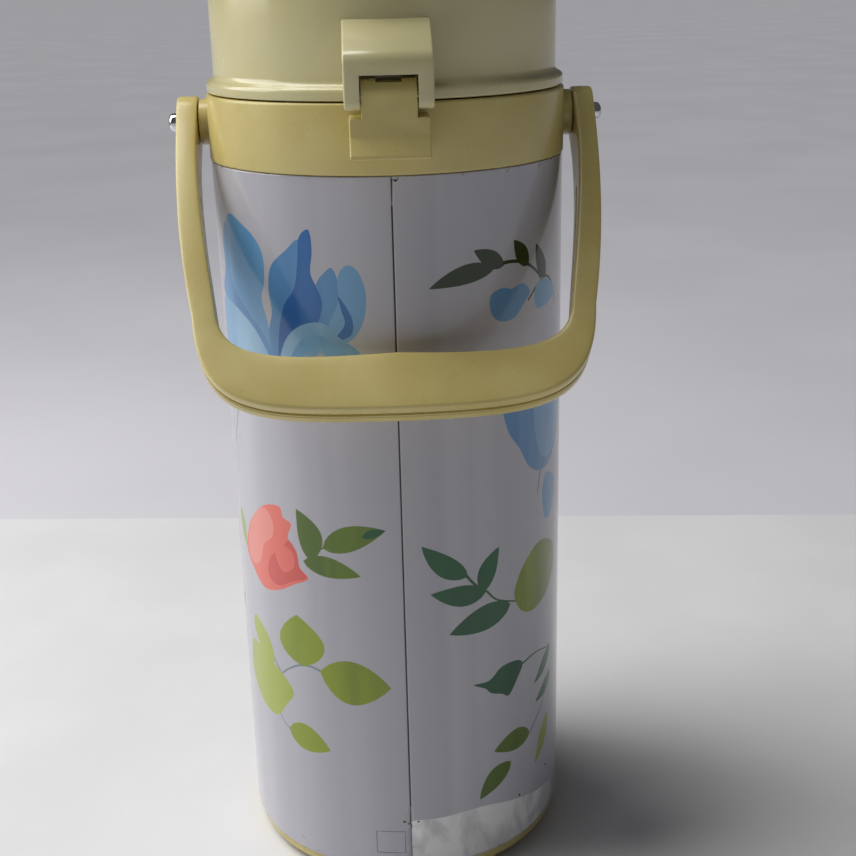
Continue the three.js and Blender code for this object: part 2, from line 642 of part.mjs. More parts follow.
const plateUnder = plunger.top - 4.6;
const plungerTurned = turned([
  [8.6, bellows.top + 2.6 + GAP],
  [11, bellows.top + 2.6 + GAP],
  [11, plateUnder],
  [plunger.radius - plunger.plate, plateUnder],
  [plunger.radius - plunger.plate, plunger.skirtBottom],
  [plunger.radius, plunger.skirtBottom],
  [plunger.radius, plunger.top - 2.4],
  [plunger.radius - 2, plunger.top],
  [plunger.radius - plunger.lipIn, plunger.top],
  [plunger.radius - plunger.dishIn, plunger.top - plunger.dish],
  [0, plunger.top - plunger.dish],
  [0, plateUnder],
  [8.6, plateUnder],
]);
const lockFloor = plunger.top - plunger.dish - lock.depth;
const lockRecess = block(
  -lock.halfLength, lock.halfLength, -lock.halfWidth, lock.halfWidth, lockFloor, plunger.top);
part('push_plate', geometryOf(without(solid(plungerTurned), lockRecess)), materials.paleCream);

const knob = new THREE.Shape();
const knobX = -lock.halfLength + 1 + lock.knobHalf;
knob.moveTo(knobX - lock.knobHalf, lockFloor + GAP);
knob.lineTo(knobX + lock.knobHalf, lockFloor + GAP);
knob.lineTo(knobX + lock.knobHalf - 0.6, plunger.top - 0.6);
knob.quadraticCurveTo(knobX, plunger.top + 0.6, knobX - lock.knobHalf + 0.6, plunger.top - 0.6);
knob.closePath();
const knobHalfWidth = lock.halfWidth - 0.5;
part('lock_slider', new THREE.ExtrudeGeometry(
  knob, { depth: 2 * knobHalfWidth, bevelEnabled: false, curveSegments: 5 })
  .rotateX(Math.PI / 2).translate(0, knobHalfWidth, 0), materials.cream);

export default pot;
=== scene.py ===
"""Pump pot: the looks of a printed vacuum flask with a hand pump in its hinged lid.

Lengths are millimetres and the helpers turn them into metres. +Z is up, the spout points
along -Y, and the lid hinge and the camera are on the +Y side.
"""
import json
import math

import bmesh
import bpy
import numpy as np
from mathutils import Matrix, Vector
from mathutils.geometry import delaunay_2d_cdt


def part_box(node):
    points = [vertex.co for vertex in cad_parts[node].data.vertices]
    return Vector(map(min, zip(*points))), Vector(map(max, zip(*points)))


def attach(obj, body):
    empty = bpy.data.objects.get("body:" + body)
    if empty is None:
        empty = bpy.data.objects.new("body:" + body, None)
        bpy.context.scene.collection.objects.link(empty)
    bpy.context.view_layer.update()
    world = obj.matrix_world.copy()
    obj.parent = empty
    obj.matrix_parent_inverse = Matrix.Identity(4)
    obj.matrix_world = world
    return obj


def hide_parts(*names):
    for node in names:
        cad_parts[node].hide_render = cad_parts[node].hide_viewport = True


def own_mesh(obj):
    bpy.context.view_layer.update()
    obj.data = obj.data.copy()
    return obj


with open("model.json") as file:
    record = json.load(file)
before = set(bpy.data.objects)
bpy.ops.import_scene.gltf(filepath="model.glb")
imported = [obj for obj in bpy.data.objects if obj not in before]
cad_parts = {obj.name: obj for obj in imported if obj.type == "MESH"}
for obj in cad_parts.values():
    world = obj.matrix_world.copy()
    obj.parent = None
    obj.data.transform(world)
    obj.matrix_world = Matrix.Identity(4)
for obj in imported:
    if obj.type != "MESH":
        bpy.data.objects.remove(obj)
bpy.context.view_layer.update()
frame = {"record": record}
scene = bpy.context.scene

MM = 0.001
TURN_STEPS = 144
FILLET_STEPS = 5
LEAF_STEPS = 12
HALF_PI = math.pi / 2

BODY_OF = {node: body for body, nodes in frame["record"]["behaviour"]["bodies"].items()
           for node in nodes}


def span(node):
    """Lowest and highest corner of a CAD node at rest, in millimetres."""
    low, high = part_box(node)
    return low / MM, high / MM


# ---- driving dimensions
SHELL_LOW, SHELL_HIGH = span("body_shell")
SHELL_RADIUS = SHELL_HIGH.x
SHELL_BOTTOM = SHELL_LOW.z
SHELL_TOP = SHELL_HIGH.z
GIRTH = 2 * math.pi * SHELL_RADIUS

RING_LOW, RING_HIGH = span("shoulder_ring")
RING_RADIUS = SHELL_RADIUS + 0.4
RING_BOTTOM = SHELL_TOP + 0.3
RING_TOP = 309.5
DECK_TOP = 299.5
PIVOT_Z = 298.5
BOSS_FACE = RING_HIGH.x

LID_FLANGE = RING_RADIUS - 0.4
LID_BOTTOM = RING_TOP + 0.5
LID_RADIUS = 64
LID_TOP = span("lid_shell")[1].z
LID_WALL = 2.4
LID_MOUTH = 45.5

HINGE_Y = 75
HINGE_Z = 312.6
LATCH_Y = -68
LATCH_Z = 326

BAIL_HALF_WIDTH = 78.2
BAIL_INNER = 70.6
BAIL_REACH = 126.3
BAIL_BAR = 21.8
BAIL_TOP = 9.5
BAIL_GRIP_HALF = 6.2
SCREW_HEAD_END = span("pivot_screw_right")[1].x
SCREW_BORE = 2.7
HINGE_BORE = 2.2
LATCH_BORE = 1.4
BAIL_SPLIT = 1
BAIL_ANGLE = math.radians(44)


# ---- mesh helpers
def rounded(points):
    """Corners given as (a, b, fillet) become short arcs; (a, b) stays a sharp corner."""
    outline = []
    count = len(points)
    for i, point in enumerate(points):
        here = Vector(point[:2])
        if len(point) == 2:
            outline.append(here)
            continue
        before = Vector(points[i - 1][:2]) - here
        after = Vector(points[(i + 1) % count][:2]) - here
        half_corner = max(before.angle(after) / 2, 0.05)
        reach = min(point[2] / math.tan(half_corner), 0.48 * before.length, 0.48 * after.length)
        start = here + before.normalized() * reach
        end = here + after.normalized() * reach
        for step in range(FILLET_STEPS + 1):
            t = step / FILLET_STEPS
            outline.append((1 - t) ** 2 * start + 2 * t * (1 - t) * here + t * t * end)
    return outline


def arc(a, b, radius, start, end, steps, rise=None):
    """Points of a circle round (a, b) between two angles, or of an ellipse with its own rise."""
    angles = (math.radians(start + (end - start) * i / steps) for i in range(steps + 1))
    return [(a + radius * math.cos(t), b + (rise or radius) * math.sin(t)) for t in angles]


def mesh_from(name, verts, faces, slots=()):
    """A mesh from points in millimetres, with doubled points merged and faces turned outwards."""
    mesh = bpy.data.meshes.new(name)
    mesh.from_pydata([tuple(c * MM for c in v) for v in verts], [], faces)
    if slots:
        mesh.polygons.foreach_set("material_index", slots)
    bm = bmesh.new()
    bm.from_mesh(mesh)
    bmesh.ops.remove_doubles(bm, verts=bm.verts, dist=0.002 * MM)
    bmesh.ops.recalc_face_normals(bm, faces=bm.faces)
    bm.to_mesh(mesh)
    bm.free()
    return mesh


def skin(rings, loop=False, sheet=False):
    """Quads between rings of equal length, closed at both ends unless the rings form a loop.
    In a sheet each ring is an open row of points, and nothing is closed."""
    count = len(rings[0])
    verts = [p for ring in rings for p in ring]
    faces = []
    for k in range(len(rings) if loop else len(rings) - 1):
        here, there = k * count, ((k + 1) % len(rings)) * count
        for i in range(count - 1 if sheet else count):
            j = (i + 1) % count
            faces.append((here + i, here + j, there + j, there + i))
    if not loop and not sheet:
        last = (len(rings) - 1) * count
        faces += [tuple(range(count)), tuple(range(last, last + count))]
    return verts, faces


def turned(name, profile, steps=TURN_STEPS):
    """Turns a closed profile of (radius, height, fillet) about +Z."""
    outline = rounded(profile)
    angles = (2 * math.pi * k / steps for k in range(steps))
    rings = [[(r * math.cos(a), r * math.sin(a), z) for r, z in outline] for a in angles]
    return mesh_from(name, *skin(rings, loop=True))


def moved(mesh, *matrices):
    """Applies rotations and shifts (in millimetres) to a mesh, first to last."""
    for matrix in matrices:
        if isinstance(matrix, tuple):
            matrix = Matrix.Translation(Vector(matrix) * MM)
        mesh.transform(matrix)
    return mesh


ALONG_X = Matrix.Rotation(HALF_PI, 4, "Y")
ALONG_MINUS_X = Matrix.Rotation(-HALF_PI, 4, "Y")


def crease_bevel(mesh, width, segments=3, angle=30):
    """Rounds every edge sharper than the angle."""
    bm = bmesh.new()
    bm.from_mesh(mesh)
    sharp = [e for e in bm.edges
             if len(e.link_faces) == 2 and e.calc_face_angle(0) > math.radians(angle)]
    bmesh.ops.bevel(bm, geom=sharp, offset=width * MM, segments=segments, profile=0.5,
                    affect="EDGES", clamp_overlap=True)
    bmesh.ops.recalc_face_normals(bm, faces=bm.faces)
    bm.to_mesh(mesh)
    bm.free()
    return mesh


def slab(name, side_view, x0, x1, bevel=0.6):
    """Extrudes a side view drawn in Y and Z from x0 to x1 and rounds its edges."""
    outline = rounded(side_view)
    mesh = mesh_from(name, *skin([[(x, y, z) for y, z in outline] for x in (x0, x1)]))
    return crease_bevel(mesh, bevel) if bevel else mesh


def bar(x0, x1, y0, y1, z0, z1, bevel=0.0):
    """A small block, with rounded edges if a bevel is given."""
    return slab("bar", [(y0, z0), (y1, z0), (y1, z1), (y0, z1)], x0, x1, bevel)


def swept(name, route, outer, bore=0.0, sides=32):
    """A round wire, or a tube if it has a bore, along a list of points in millimetres."""
    points = [Vector(p) for p in route]
    places = []
    side = None
    for i, point in enumerate(points):
        ahead = points[min(i + 1, len(points) - 1)] - points[max(i - 1, 0)]
        ahead.normalize()
        if side is None:
            side = ahead.orthogonal().normalized()
        side = (side - ahead * side.dot(ahead)).normalized()
        places.append((point, side, ahead.cross(side)))

    def rings(radius):
        angles = [2 * math.pi * k / sides for k in range(sides)]
        return [[point + radius * (side * math.cos(a) + up * math.sin(a)) for a in angles]
                for point, side, up in places]

    if bore:
        return mesh_from(name, *skin(rings(outer) + rings(bore)[::-1], loop=True))
    return mesh_from(name, *skin(rings(outer)))


def combine(mesh, others, operation):
    """Joins other meshes to a mesh (UNION) or cuts them from it (DIFFERENCE)."""
    for other in others:
        base = bpy.data.objects.new("base", mesh)
        tool = bpy.data.objects.new("tool", other)
        for obj in (base, tool):
            scene.collection.objects.link(obj)
        boolean = base.modifiers.new("combine", "BOOLEAN")
        boolean.operation = operation
        boolean.solver = "EXACT"
        boolean.object = tool
        graph = bpy.context.evaluated_depsgraph_get()
        result = bpy.data.meshes.new_from_object(base.evaluated_get(graph))
        result.name = mesh.name
        for obj in (base, tool):
            bpy.data.objects.remove(obj)
        mesh = result
    return mesh


def union(mesh, *others):
    return combine(mesh, others, "UNION")


def cut(mesh, *others):
    return combine(mesh, others, "DIFFERENCE")


def show(mesh, node, material=None, crease=32):
    """Puts a fine mesh in place of a CAD node, on that node's body, with the given material if
    any.
    """
    obj = bpy.data.objects.new("fine_" + node, mesh)
    scene.collection.objects.link(obj)
    if material:
        mesh.materials.append(material)
    mesh.polygons.foreach_set("use_smooth", [True] * len(mesh.polygons))
    mesh.set_sharp_from_angle(angle=math.radians(crease))
    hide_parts(node)
    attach(obj, BODY_OF[node])
    return obj


def lathe(node, material, profile, steps=TURN_STEPS):
    """Shows a node as one turned profile."""
    return show(turned(node, profile, steps), node, material)


# ---- material helpers
def linear(*rgb):
    """An sRGB colour given in 0..255 as the linear colour that the shader takes."""
    channels = []
    for value in rgb:
        c = value / 255
        channels.append(c / 12.92 if c <= 0.04045 else ((c + 0.055) / 1.055) ** 2.4)
    return (*channels, 1)


class Shader:
    """A procedural material around one Principled shader, in object coordinates."""

    def __init__(self, name, **sockets):
        self.material = bpy.data.materials.new(name)
        self.material.use_nodes = True
        self.tree = self.material.node_tree
        self.bsdf = self.tree.nodes["Principled BSDF"]
        self.place = self.tree.nodes.new("ShaderNodeTexCoord").outputs["Object"]
        for socket, value in sockets.items():
            self.bsdf.inputs[socket.replace("_", " ")].default_value = value

    def link(self, source, target):
        self.tree.links.new(source, target)

    def noise(self, scale, detail=3, stretch=(1, 1, 1), distortion=0.0, rough=0.5):
        mapping = self.tree.nodes.new("ShaderNodeMapping")
        mapping.inputs["Scale"].default_value = stretch
        self.link(self.place, mapping.inputs["Vector"])
        node = self.tree.nodes.new("ShaderNodeTexNoise")
        node.inputs["Scale"].default_value = scale
        node.inputs["Detail"].default_value = detail
        node.inputs["Roughness"].default_value = rough
        node.inputs["Distortion"].default_value = distortion
        self.link(mapping.outputs["Vector"], node.inputs["Vector"])
        return node.outputs["Fac"]

    def spread(self, source, low, high, out_low=0, out_high=1):
        """A smooth step of a socket, from one range to another."""
        node = self.tree.nodes.new("ShaderNodeMapRange")
        node.interpolation_type = "SMOOTHSTEP"
        for socket, value in zip(("From Min", "From Max", "To Min", "To Max"),
                                 (low, high, out_low, out_high)):
            node.inputs[socket].default_value = value
        self.link(source, node.inputs["Value"])
        return node.outputs["Result"]

    def mix(self, factor, first, second):
        """sRGB colours or colour sockets blended by a factor socket."""
        node = self.tree.nodes.new("ShaderNodeMix")
        node.data_type = "RGBA"
        self.link(factor, node.inputs["Factor"])
        for socket, value in ((node.inputs[6], first), (node.inputs[7], second)):
            if isinstance(value, tuple):
                socket.default_value = linear(*value)
            else:
                self.link(value, socket)
        return node.outputs[2]

    def height(self, axis):
        """One coordinate of the place, in metres."""
        node = self.tree.nodes.new("ShaderNodeSeparateXYZ")
        self.link(self.place, node.inputs["Vector"])
        return node.outputs[axis]

    def combined(self, operation, first, second):
        node = self.tree.nodes.new("ShaderNodeMath")
        node.operation = operation
        self.link(first, node.inputs[0])
        self.link(second, node.inputs[1])
        return node.outputs["Value"]

    def colour(self, source):
        self.link(source, self.bsdf.inputs["Base Color"])

    def rough(self, source):
        self.link(source, self.bsdf.inputs["Roughness"])

    def bump(self, source, depth_mm, strength=1.0):
        node = self.tree.nodes.new("ShaderNodeBump")
        node.inputs["Distance"].default_value = depth_mm * MM
        node.inputs["Strength"].default_value = strength
        self.link(source, node.inputs["Height"])
        self.link(node.outputs["Normal"], self.bsdf.inputs["Normal"])


def moulded_plastic(name, fresh, aged, roughness, grain_mm=0.012, coat=0.0, stain=None):
    """Moulded plastic: patchy ageing, a faint moulded texture and smudged gloss."""
    shader = Shader(name, IOR=1.5, Coat_Weight=coat, Coat_Roughness=0.12)
    patches = shader.spread(shader.noise(22, 5), 0.3, 0.72)
    tone = shader.mix(patches, fresh, aged)
    if stain:
        dirt = shader.spread(shader.noise(160, 6, rough=0.7), 0.66, 0.8, 0, 0.5)
        tone = shader.mix(dirt, tone, stain)
    shader.colour(tone)
    smudge = shader.noise(48, 4, stretch=(1, 1, 0.5), distortion=0.6)
    shader.rough(shader.spread(smudge, 0.3, 0.75, roughness - 0.06, roughness + 0.09))
    shader.bump(shader.noise(900, 3), grain_mm, 0.6)
    return shader.material


def metal(name, light, dark, roughness, stretch=(1, 1, 1), scratch_mm=0.004):
    """Bare metal: uneven tone, fine lines along its drawn direction."""
    shader = Shader(name, Metallic=1.0)
    shader.colour(shader.mix(shader.spread(shader.noise(90, 4), 0.35, 0.7), light, dark))
    lines = shader.noise(500, 3, stretch=stretch)
    shader.rough(shader.spread(lines, 0.3, 0.7, roughness, roughness + 0.12))
    shader.bump(lines, scratch_mm, 0.5)
    return shader.material


def rubber(name, light, dark, roughness=0.72):
    """Matte rubber with a dusty bloom and a fine pebble."""
    shader = Shader(name, IOR=1.48)
    bloom = shader.spread(shader.noise(60, 5), 0.4, 0.75)
    shader.colour(shader.mix(bloom, dark, light))
    shader.rough(shader.spread(bloom, 0, 1, roughness, roughness + 0.15))
    shader.bump(shader.noise(1400, 2), 0.03, 0.7)
    return shader.material


ENAMEL_ROUGHNESS = 0.16
ENAMEL_COAT = 0.35


def enamel(name, first, second, patch_scale=26, contrast=(0.38, 0.62), streak=(1, 1, 0.12)):
    """Glossy enamel over rolled sheet, its colour brushed between two tones."""
    shader = Shader(name, IOR=1.5, Coat_Weight=ENAMEL_COAT, Coat_Roughness=0.06)
    strokes = shader.noise(patch_scale, 4, stretch=streak, distortion=0.8)
    shader.colour(shader.mix(shader.spread(strokes, *contrast), first, second))
    haze = shader.noise(30, 5, stretch=(1, 1, 0.3))
    shader.rough(shader.spread(haze, 0.3, 0.75, ENAMEL_ROUGHNESS, ENAMEL_ROUGHNESS + 0.1))
    shader.bump(shader.noise(70, 2, stretch=(1, 1, 0.04)), 0.02, 0.5)
    return shader


def white_enamel():
    """The shell's ground colour, with faint upright streaks and rust at both hems."""
    shader = enamel("white_enamel", (191, 190, 198), (179, 178, 188),
                    patch_scale=34, streak=(1, 1, 0.03), contrast=(0.3, 0.7))
    ground = shader.bsdf.inputs["Base Color"].links[0].from_socket
    height = shader.height("Z")
    top_hem = shader.spread(height, (SHELL_TOP - 2.5) * MM, SHELL_TOP * MM)
    bottom_hem = shader.spread(height, (SHELL_BOTTOM + 9) * MM, SHELL_BOTTOM * MM)
    spots = shader.spread(shader.noise(260, 5, rough=0.65), 0.6, 0.68)
    hems = shader.combined("MAXIMUM", top_hem, bottom_hem)
    rust = shader.combined("MULTIPLY", hems, spots)
    shader.colour(shader.mix(rust, ground, (92, 58, 36)))
    return shader.material


# ---- materials
CREAM = moulded_plastic("cream_plastic", (212, 197, 132), (198, 180, 108), 0.30,
                        coat=0.15, stain=(150, 120, 60))
PALE_CREAM = moulded_plastic("pale_cream_plastic", (212, 205, 160), (202, 193, 142),
                             0.20, grain_mm=0.006, coat=0.4)
INNER = moulded_plastic("inner_plastic", (232, 229, 216), (220, 214, 194), 0.42)
DARK_RUBBER = rubber("dark_rubber", (92, 90, 86), (52, 51, 49))
PALE_RUBBER = rubber("pale_rubber", (214, 208, 192), (196, 187, 166), 0.6)
STEEL = metal("drawn_steel", (200, 200, 202), (168, 168, 172), 0.22, (0.2, 0.2, 1))
CHROME = metal("chrome", (226, 226, 228), (196, 196, 202), 0.06)
SILVER = metal("silvered_glass", (232, 230, 224), (206, 206, 206), 0.04)

TWO_TONE_INKS = {
    "olive": ((142, 160, 26), (108, 128, 14)),
    "olive_pale": ((168, 180, 70), (144, 160, 52)),
    "leaf": ((78, 106, 12), (102, 128, 18)),
    "leaf_deep": ((4, 74, 40), (12, 94, 50)),
    "leaf_black": ((20, 36, 12), (34, 54, 20)),
    "blue_pale": ((146, 184, 214), (122, 168, 206)),
    "blue": ((94, 150, 198), (118, 168, 210)),
    "blue_mid": ((76, 130, 184), (98, 150, 198)),
    "blue_deep": ((34, 88, 160), (56, 112, 178)),
    "coral": ((232, 114, 100), (224, 96, 86)),
    "coral_pale": ((236, 144, 130), (230, 126, 112)),
    "coral_deep": ((212, 84, 78), (222, 104, 94)),
    "grey": ((126, 142, 152), (106, 124, 132)),
}
INKS = {"bare": white_enamel()}
for ink_name, tones in TWO_TONE_INKS.items():
    INKS[ink_name] = enamel("ink_" + ink_name, *tones).material
INKS["seam"] = enamel("seam_shadow", (64, 56, 56), (36, 30, 30), 200).material
INKS["paper"] = enamel("worn_paper", (238, 237, 238), (206, 204, 206), 70,
                       streak=(1, 1, 0.6)).material
INKS["rust"] = enamel("rust", (96, 60, 38), (52, 34, 26), 300).material
INK_INDEX = {name: index for index, name in enumerate(INKS)}


# ---- printed pattern
def through(points, closed=True, steps=6):
    """A smooth Catmull-Rom line through given points."""
    points = [Vector(p) for p in points]
    count = len(points)
    line = []
    for i in range(count if closed else count - 1):
        if closed:
            a, b, c, d = (points[(i + k) % count] for k in (-1, 0, 1, 2))
        else:
            a, b, c, d = (points[min(max(i + k, 0), count - 1)] for k in (-1, 0, 1, 2))
        for step in range(steps):
            t = step / steps
            line.append(0.5 * (2 * b + (c - a) * t + (2 * a - 5 * b + 4 * c - d) * t * t
                               + (3 * b - a - 3 * c + d) * t ** 3))
    if not closed:
        line.append(points[-1])
    return line


class Print:
    """Outlines on the unrolled shell: s runs round it from the seam, z is the height."""

    def __init__(self):
        self.outlines = []
        self.shift = Vector((0, 0))

    def stamp_at(self, s):
        """Motifs drawn after this are moved round the shell by s."""
        self.shift = Vector((s, 0))

    def add(self, ink, outline):
        self.outlines.append((ink, [Vector(p) + self.shift for p in outline]))

    def blob(self, ink, *points):
        self.add(ink, through(points))

    def leaf(self, ink, base, tip, width, bend=0.0, belly=0.8):
        """A pointed leaf. A belly under 1 puts its widest part nearer the base."""
        base, tip = Vector(base), Vector(tip)
        axis = tip - base
        across = Vector((-axis.y, axis.x)).normalized()
        left, right = [], []
        for step in range(LEAF_STEPS + 1):
            t = step / LEAF_STEPS
            middle = base + axis * t + across * (bend * 4 * t * (1 - t))
            half = width / 2 * math.sin(math.pi * t ** belly) ** 0.85 if 0 < t < 1 else 0
            left.append(middle + across * half)
            right.append(middle - across * half)
        self.add(ink, left + right[-2:0:-1])

    def stem(self, ink, width, *points):
        """A thin stroke that tapers to half its width."""
        line = through(points, closed=False)
        left, right = [], []
        for i, point in enumerate(line):
            ahead = line[min(i + 1, len(line) - 1)] - line[max(i - 1, 0)]
            across = Vector((-ahead.y, ahead.x)).normalized()
            half = width / 2 * (1 - 0.5 * i / len(line))
            left.append(point + across * half)
            right.append(point - across * half)
        self.add(ink, left + right[::-1])


def blue_flower(art):
    """Large open flower: a broad petal, a pointed dark one and two round ones."""
    art.blob("blue_pale", (-86, 224), (-84, 236), (-70, 238), (-60, 233), (-51, 230),
             (-49, 218), (-54, 208), (-72, 206), (-84, 212))
    art.blob("blue", (-84, 238), (-80, 248), (-81, 257), (-76, 265), (-71, 269), (-62, 266),
             (-55, 262), (-51, 256), (-51, 247), (-53, 240), (-50, 230), (-50, 222),
             (-57, 229), (-66, 234), (-76, 236))
    art.blob("blue_mid", (-84, 238), (-80, 248), (-81, 257), (-77, 265), (-75, 258),
             (-75, 248), (-71, 241), (-62, 234), (-52, 226), (-48, 216), (-58, 228),
             (-70, 234))
    art.blob("blue_mid", (-34, 263), (-40, 259), (-47, 253), (-49, 245), (-48, 236),
             (-50, 228), (-48, 216), (-40, 222), (-37, 236), (-34, 250))
    art.blob("blue_mid", (-28, 248), (-25, 252), (-22, 254), (-20, 250), (-19, 242),
             (-20, 234), (-24, 229), (-32, 230), (-31, 238))
    art.blob("blue", (-20, 250), (-18, 254), (-15, 255), (-12, 252), (-10, 245), (-11, 236),
             (-15, 229), (-21, 227), (-24, 233), (-20, 242))
    art.blob("blue_deep", (-30, 267), (-34, 264), (-35, 256), (-37, 246), (-42, 239),
             (-45, 229), (-45, 219), (-36, 222), (-29, 232), (-26, 241), (-28, 247),
             (-30, 252), (-29, 260))
    art.blob("blue_deep", (-20, 244), (-17, 240), (-15, 235), (-16, 230), (-22, 228),
             (-18, 234), (-19, 239))
    art.blob("blue_pale", (-45, 220), (-41, 228), (-34, 233), (-26, 234), (-20, 229),
             (-13, 224), (-10, 216), (-20, 210), (-34, 208), (-46, 210))
    art.blob("blue", (-41, 216), (-38, 224), (-32, 229), (-25, 229), (-19, 224), (-14, 218),
             (-16, 213), (-28, 210), (-38, 211))
    art.blob("blue_pale", (-37, 217), (-33, 223), (-28, 225), (-23, 222), (-20, 217),
             (-25, 212), (-34, 212))
    art.blob("bare", (-31, 219), (-28, 223), (-25, 221), (-24, 217), (-28, 215))


def dark_sprig(art):
    """Near-black sprig with two blue buds."""
    art.stem("leaf_black", 1.5, (28, 250), (41, 252), (51, 251), (59, 247), (64, 242),
             (60, 240), (55, 236))
    art.stem("leaf_black", 1.1, (62, 244), (70, 242), (75, 237), (77, 231))
    art.leaf("leaf_black", (38, 251), (12, 246), 7, bend=-1.2)
    art.leaf("leaf_black", (42, 251), (29, 258), 6.4)
    art.leaf("leaf_black", (55, 249), (47, 259.5), 6.6)
    art.leaf("leaf_black", (67, 242), (60, 256), 6.6)
    art.blob("blue_mid", (36, 241), (36, 235), (40, 231), (47, 231), (52, 235), (56, 239),
             (52, 243), (46, 242), (41, 243))
    art.blob("blue", (59, 237), (61, 232), (69, 232), (76, 235), (74, 239), (67, 242),
             (61, 241))


def hanging_petals(art):
    """Blue petals that hang from a flower, with loose brush strokes beside them."""
    art.blob("blue_mid", (43, 208), (41, 199), (44, 188), (50, 180), (56, 171), (64, 167),
             (72, 168), (80, 174), (85, 185), (86, 196), (83, 208), (64, 213))
    art.blob("blue", (62, 208), (59, 196), (60, 184), (64, 174), (72, 171), (80, 177),
             (84, 188), (84, 200), (78, 209))
    art.blob("blue_mid", (66, 158), (70, 164), (78, 160), (79, 153), (74, 145), (68, 146))
    art.stem("grey", 1.1, (68, 171), (64, 166), (62, 158))
    art.stem("grey", 0.9, (84, 232), (88, 224), (85, 215), (88, 208))


def coral_flower(art):
    """Coral flower with three dark leaves on short stems."""
    art.stem("leaf", 1.0, (-39, 139), (-36, 143), (-31, 147), (-27, 148))
    art.blob("coral", (-51, 160), (-49, 156), (-45, 154), (-47, 148), (-43, 143), (-42, 137),
             (-38, 133), (-45, 129), (-54, 124), (-64, 122), (-73, 128), (-78, 134),
             (-75, 143), (-69, 151), (-60, 158))
    art.blob("coral_pale", (-60, 157), (-55, 152), (-56, 146), (-62, 141), (-66, 132),
             (-73, 130), (-76, 136), (-73, 145), (-68, 152))
    art.blob("coral_deep", (-47, 147), (-43, 143), (-42, 137), (-39, 133), (-46, 130),
             (-54, 126), (-60, 129), (-58, 137), (-51, 142))
    art.blob("coral", (-55, 140), (-50, 144), (-45, 142), (-45, 136), (-51, 133))
    art.leaf("leaf", (-36, 141), (-42, 161), 11, bend=-2.5)
    art.leaf("leaf", (-31, 147), (-6, 156), 10, bend=1.0)
    art.leaf("leaf_deep", (-15, 153), (-6, 156), 3.4, bend=0.3)
    art.leaf("leaf", (-40, 140), (-16, 137), 8.5, bend=0.8)


def olive_branch(art):
    """Broad yellow-green leaves along a thin grey stem."""
    art.stem("grey", 1.0, (-34, 94), (-40, 95), (-47, 93), (-56, 86), (-60, 76), (-58, 67),
             (-52, 62))
    art.stem("grey", 0.9, (-56, 87), (-63, 96), (-68, 104))
    art.leaf("olive", (-43, 94), (-45, 116), 23, belly=0.85)
    art.leaf("olive", (-35, 94), (-6, 90), 19, bend=-1.0, belly=0.9)
    art.blob("olive_pale", (-68, 104), (-63, 100), (-60, 93), (-62, 88), (-70, 92),
             (-76, 100), (-74, 106))
    art.blob("olive_pale", (-80, 92), (-71, 93), (-62, 90), (-54, 86), (-49, 80), (-54, 73),
             (-60, 66), (-68, 66), (-76, 70), (-82, 78))
    art.leaf("olive", (-53, 63), (-32, 59), 12, bend=0.6)


def emerald_sprig(art):
    """Dark green leaves round an olive bud."""
    art.stem("leaf_deep", 1.2, (24, 135), (28, 130), (33, 126), (38, 121), (48, 117))
    art.leaf("leaf_deep", (25, 134), (7, 149), 8.6, bend=1.4)
    art.leaf("leaf_deep", (31, 126), (39, 143), 8.2, bend=1.2)
    art.leaf("leaf_deep", (33, 126), (10, 129), 8.8, bend=1.0)
    art.leaf("leaf_deep", (45, 117), (17, 111), 10.8, bend=-0.6)
    art.blob("olive", (72, 135), (63, 137), (56, 134), (50, 128), (47, 120), (51, 112),
             (59, 109), (70, 112), (78, 119), (79, 129))
    art.blob("leaf_deep", (27, 87), (34, 87), (40, 91), (48, 91), (52, 88), (49, 83),
             (44, 77), (40, 79), (35, 81), (32, 84))
    art.stem("leaf_deep", 0.9, (52, 88), (61, 89), (74, 86))
    art.leaf("leaf_deep", (75, 87), (60, 75), 5.6, bend=1.0)
    art.leaf("leaf_deep", (76, 74), (61, 66), 5.6, bend=1.0)
    art.leaf("leaf", (57, 54), (36, 54), 9.6, bend=-1.0)
    art.leaf("leaf", (45, 46), (29, 34), 9, bend=-1.4)
    art.leaf("olive_pale", (72, 56), (61, 37), 7, bend=0.8)
    art.stem("grey", 0.8, (57, 54), (66, 62), (74, 73))


def side_sprays(art):
    """Slim sprays that fill the sides between the two repeats."""
    art.stem("grey", 0.9, (2, 196), (0, 210), (-4, 222), (-2, 236))
    art.leaf("leaf_black", (-2, 214), (-13, 225), 6, bend=0.8)
    art.leaf("leaf_black", (-3, 222), (8, 233), 6, bend=-0.8)
    art.leaf("blue_mid", (-2, 236), (2, 254), 9, bend=0.6, belly=0.7)
    art.stem("grey", 0.9, (8, 126), (4, 112), (6, 98), (1, 84))
    art.leaf("olive_pale", (5, 112), (-9, 121), 8, bend=-0.8)
    art.leaf("olive", (6, 100), (18, 108), 8.4, bend=0.8)
    art.leaf("leaf", (4, 92), (-9, 88), 7.4, bend=0.8)
    art.leaf("olive", (1, 84), (4, 68), 8)
    art.blob("coral_pale", (8, 126), (14, 132), (14, 140), (8, 145), (2, 142), (1, 133))


def rust_spots(art):
    """Chipped enamel where the sheet's hems meet the seam."""
    for s, z, size in ((1.4, 284.2, 0.9), (2.6, 284.7, 0.5), (-1.2, 284.7, 0.4), (4.6, 284.6, 0.6),
                       (3.6, 284.8, 0.4), (-5, 284.8, 0.5), (-2.6, 29.6, 0.7), (-1.0, 28.6, 0.5),
                       (3.0, 29.4, 0.5), (50, 27.4, 0.6), (71, 30.6, 0.7)):
        art.blob("rust", (s - size, z), (s - 0.3 * size, z + 0.9 * size), (s + size, z + 0.2),
                 (s + 0.2 * size, z - 0.8 * size))


